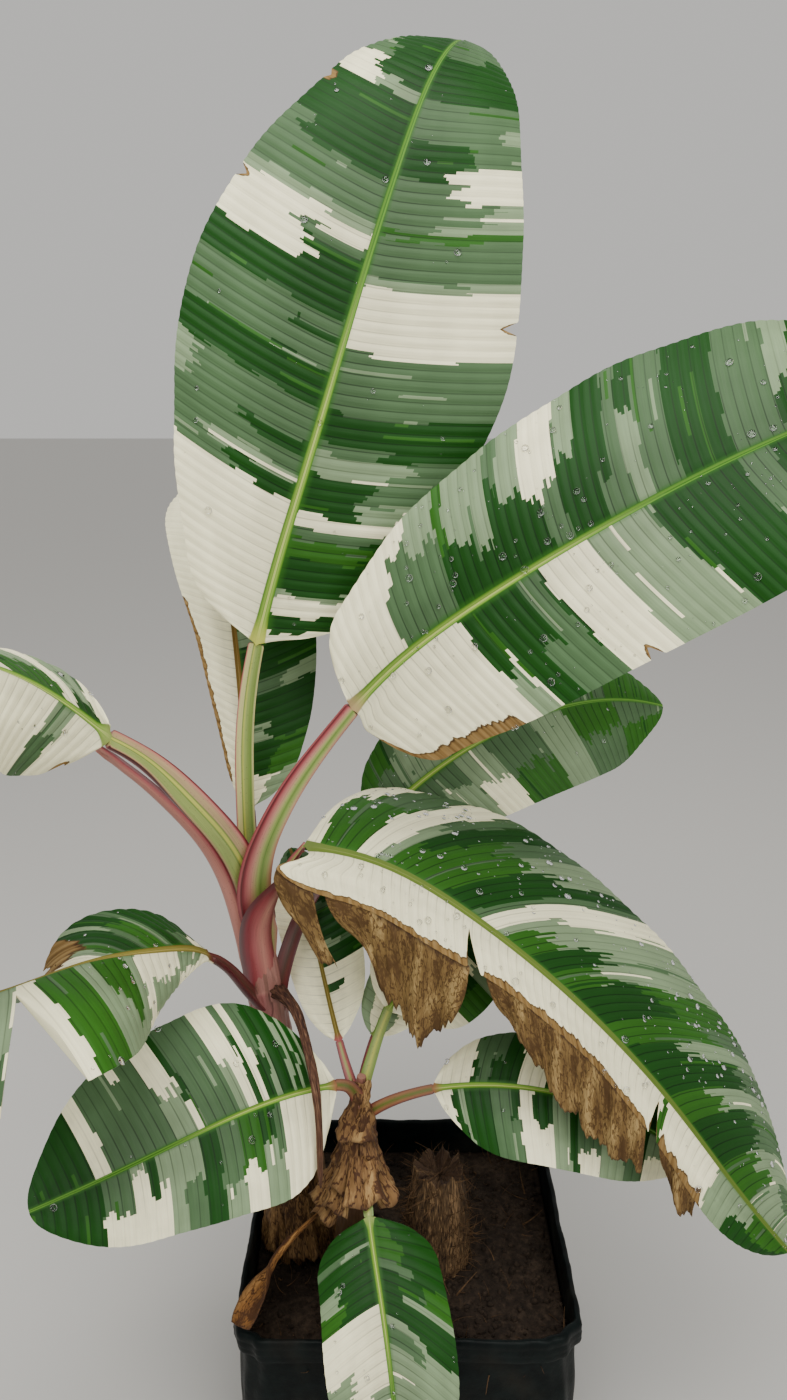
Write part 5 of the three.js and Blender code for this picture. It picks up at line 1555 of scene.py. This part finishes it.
stumpMaterial = makeDryMaterial("old_stump", *stump["tones"])
stumpSurface = stumpMesh()
addPiece("old_stump_bark", stumpSurface.copy(), stumpMaterial, "stump", ["old_stump"])
rootlet = strandShape("rootlet", 0.03, 0.0009, 0.022)
scatterPiece("old_stump_rootlets", stumpSurface, rootlet, scrapMaterial, "stump",
             {"Density": 14000.0, "Seed": 3, "Smallest": 0.3, "Largest": 1.1, "Rarity": 1.5, "Tilt": 1.25})

bag = {
    "half": 240, "corner": 55, "wall": 3, "rim": 340, "cuff": 34,
    "belly": [(0, -10), (14, -1), (120, 3), (240, 1), (306, -2)],
    "crumple": 3.2, "wave": 3,
    # the plastic's black, a painted sheen of lighter blue-green for its crease crests, and its dust
    "black": (0.0015, 0.003, 0.003, 1), "worn": (0.004, 0.0075, 0.0072, 1), "dust": (0.05, 0.04, 0.03, 1),
}


def bulgeAt(height):
    for (below, start), (above, end) in zip(bag["belly"], bag["belly"][1:]):
        if height <= above:
            return mix(start, end, (height - below) / (above - below))
    return bag["belly"][-1][1]


# The bag's soft wall, from under its foot up the outside, over the folded rim and down the inside.
def bagMesh():
    half, wall, corner = bag["half"], bag["wall"], bag["corner"]
    foot, cuff = bag["rim"] - bag["cuff"], 5
    profile = [(half - 60, 1.0, 0), (half - 24, 0.6, 0), (half - 12, 0.4, 0.1)]
    profile += [(half + bulgeAt(h), h, 1) for h in [2, 5, 9] + list(range(14, foot + 1, 6))]
    profile += [(half + 1.0, foot + 1, 1.2), (half + cuff - 0.6, foot - 1.5, 1.3),
                (half + cuff, foot + 1.5, 1.3)]
    profile += [(half + cuff + 0.4 * math.sin(h), foot + h, 1.3) for h in range(6, bag["cuff"] - 4, 4)]
    profile += [(half + 4.4, bag["rim"] - 2.5, 1.3), (half + 2.6, bag["rim"] - 0.5, 1.3),
                (half, bag["rim"], 1.3), (half - 2.4, bag["rim"] - 0.8, 1.3),
                (half - 3.4, bag["rim"] - 3, 1.3)]
    profile += [(half + bulgeAt(h) - wall, h, 1) for h in [*range(330, 262, -6), 200, 120, 60, 14]]
    profile += [(half - 12 - wall, wall + 1, 0.1), (half - 60, wall + 1, 0)]
    rings, maps, uvs = [], [], []
    for number, (reach, height, loose) in enumerate(profile):
        ring = squareRing(reach, height, min(corner, reach - 1) if reach > 200 else corner, 320)
        for point in ring:
            angle = math.atan2(point.y, point.x)
            outwards = Vector((math.cos(angle), math.sin(angle), 0))
            near = abs(abs(math.cos(angle)) - abs(math.sin(angle)))
            atCorner = ease(0.45, 0.0, near)
            fold = wobble(angle * 9, height / 210, 3) * 1.2 + 0.6 * wobble(angle * 26, height / 90, 6)
            slack = wobble(point.x / 75, point.y / 75, height / 60)
            push = bag["crumple"] * loose * (0.9 * slack + 0.55 * fold * (0.5 + atCorner))
            push += 1.6 * loose * atCorner * math.sin(angle * 60 + 2 * wobble(height / 50, 1.2))
            if height <= 1.2:
                push = 0
            point += outwards * push * ease(0, 30, height + 8)
            if height > foot - 12:
                along = wobble(angle * 3.2, 1.5, 9) + 0.5 * wobble(angle * 9, 2.5, 9)
                point.z += bag["wave"] * along * clamp((height - foot + 12) / 20)
        rings.append(ring)
        maps.append([(0, 0, clamp(height / bag["rim"]))] * len(ring))
        uvs.append([(k / len(ring), number / len(profile)) for k in range(len(ring) + 1)])
    return shell("grow_bag_mesh", rings, uvs, maps, sharp=60)


def makeBagMaterial():
    material, shader = startMaterial("black_plastic", **{"Specular IOR Level": 0.1})
    place = objectPlace()
    fine = noiseAt(place, 420.0, 3.0)
    creases = noiseAt(place, 38.0, 6.0, 0.6)
    dust = noiseAt(place, 9.0, 6.0)
    splash = 1.0 - fadeIn(parts(place)["Z"], 0.0, 0.16)
    dusty = fadeIn(splash * 0.22 + dust, 0.52, 0.78)
    # painted sheen: a lighter blue-green on the crests of the creases
    color = blendColors(fadeIn(creases, 0.35, 0.7), bag["black"], bag["worn"])
    color = blendColors(dusty * 0.3, color, bag["dust"])
    rough = dusty * 0.3 + fine * 0.2 + 0.34
    finishMaterial(shader, {"Color": color, "Roughness": rough, "Height": creases + fine * 0.06}, 0.5, 0.003)
    return material


addPiece("grow_bag_wall", bagMesh(), makeBagMaterial(), "bag", ["grow_bag"])


print("scene: water drops")

waterMaterial = startMaterial("rain_drops", **{"Base Color": (1, 1, 1, 1), "Roughness": 0.03, "IOR": 1.33,
                                               "Transmission Weight": 1.0})[0]
dropWork = {"Smallest": 0.22, "Largest": 1.5, "Rarity": 4.0, "Patches": 0.8}
dome = smallShape("drop", "create_uvsphere", u_segments=8, v_segments=6, radius=0.0036,
                  bend=lambda co: Vector((co.x, co.y, max(co.z, -0.0012) * 0.6 + 0.0011)))
for seed, leaf in enumerate(leaves):
    if not leaf.get("drops"):
        continue
    mesh = bpy.data.objects[f"{leaf['name']}_blade_skin"].data.copy()
    mesh.materials.clear()
    area = sum(face.area for face in mesh.polygons) / 2
    scatterPiece(f"{leaf['name']}_rain_drops", mesh, dome.copy(), waterMaterial, "blade",
                 {**dropWork, "Density": leaf["drops"] / area, "Seed": seed})


print("scene: camera, light and floor")

view = {"at": (-0.02, -1.495, 1.62), "pitch": 16, "lens": 29}
camera = bpy.data.objects.new("camera", bpy.data.cameras.new("camera"))
camera.data.lens = view["lens"]
camera.location = view["at"]
camera.rotation_euler = (math.radians(90 - view["pitch"]), 0, 0)
bpy.context.scene.collection.objects.link(camera)
bpy.context.scene.camera = camera

world = bpy.data.worlds.new("studio")
world.use_nodes = True
world.node_tree.nodes["Background"].inputs[0].default_value = (1, 0.985, 0.95, 1)
world.node_tree.nodes["Background"].inputs[1].default_value = 0.6
bpy.context.scene.world = world


def addLight(name, at, towards, size, power, color=(1, 1, 1)):
    data = bpy.data.lights.new(name, "AREA")
    data.shape, data.size, data.energy, data.color = "DISK", size, power, color
    light = bpy.data.objects.new(name, data)
    light.location = at
    light.rotation_euler = (Vector(towards) - Vector(at)).to_track_quat("-Z", "Y").to_euler()
    bpy.context.scene.collection.objects.link(light)


addLight("sky", (-0.6, -1.4, 4.2), (0, 0, 1), 3.0, 130, (1, 0.98, 0.93))
addLight("front", (1.6, -3.2, 2.6), (0, 0, 1), 2.4, 60, (1, 0.98, 0.94))

floorMesh = bpy.data.meshes.new("floor")
floorMesh.from_pydata([(-30, -30, 0), (30, -30, 0), (30, 30, 0), (-30, 30, 0)], [], [(0, 1, 2, 3)])
floor = bpy.data.objects.new("floor", floorMesh)
bpy.context.scene.collection.objects.link(floor)
floorMaterial = startMaterial("paleFloor", **{"Base Color": (0.62, 0.61, 0.59, 1), "Roughness": 0.9})[0]
floorMesh.materials.append(floorMaterial)
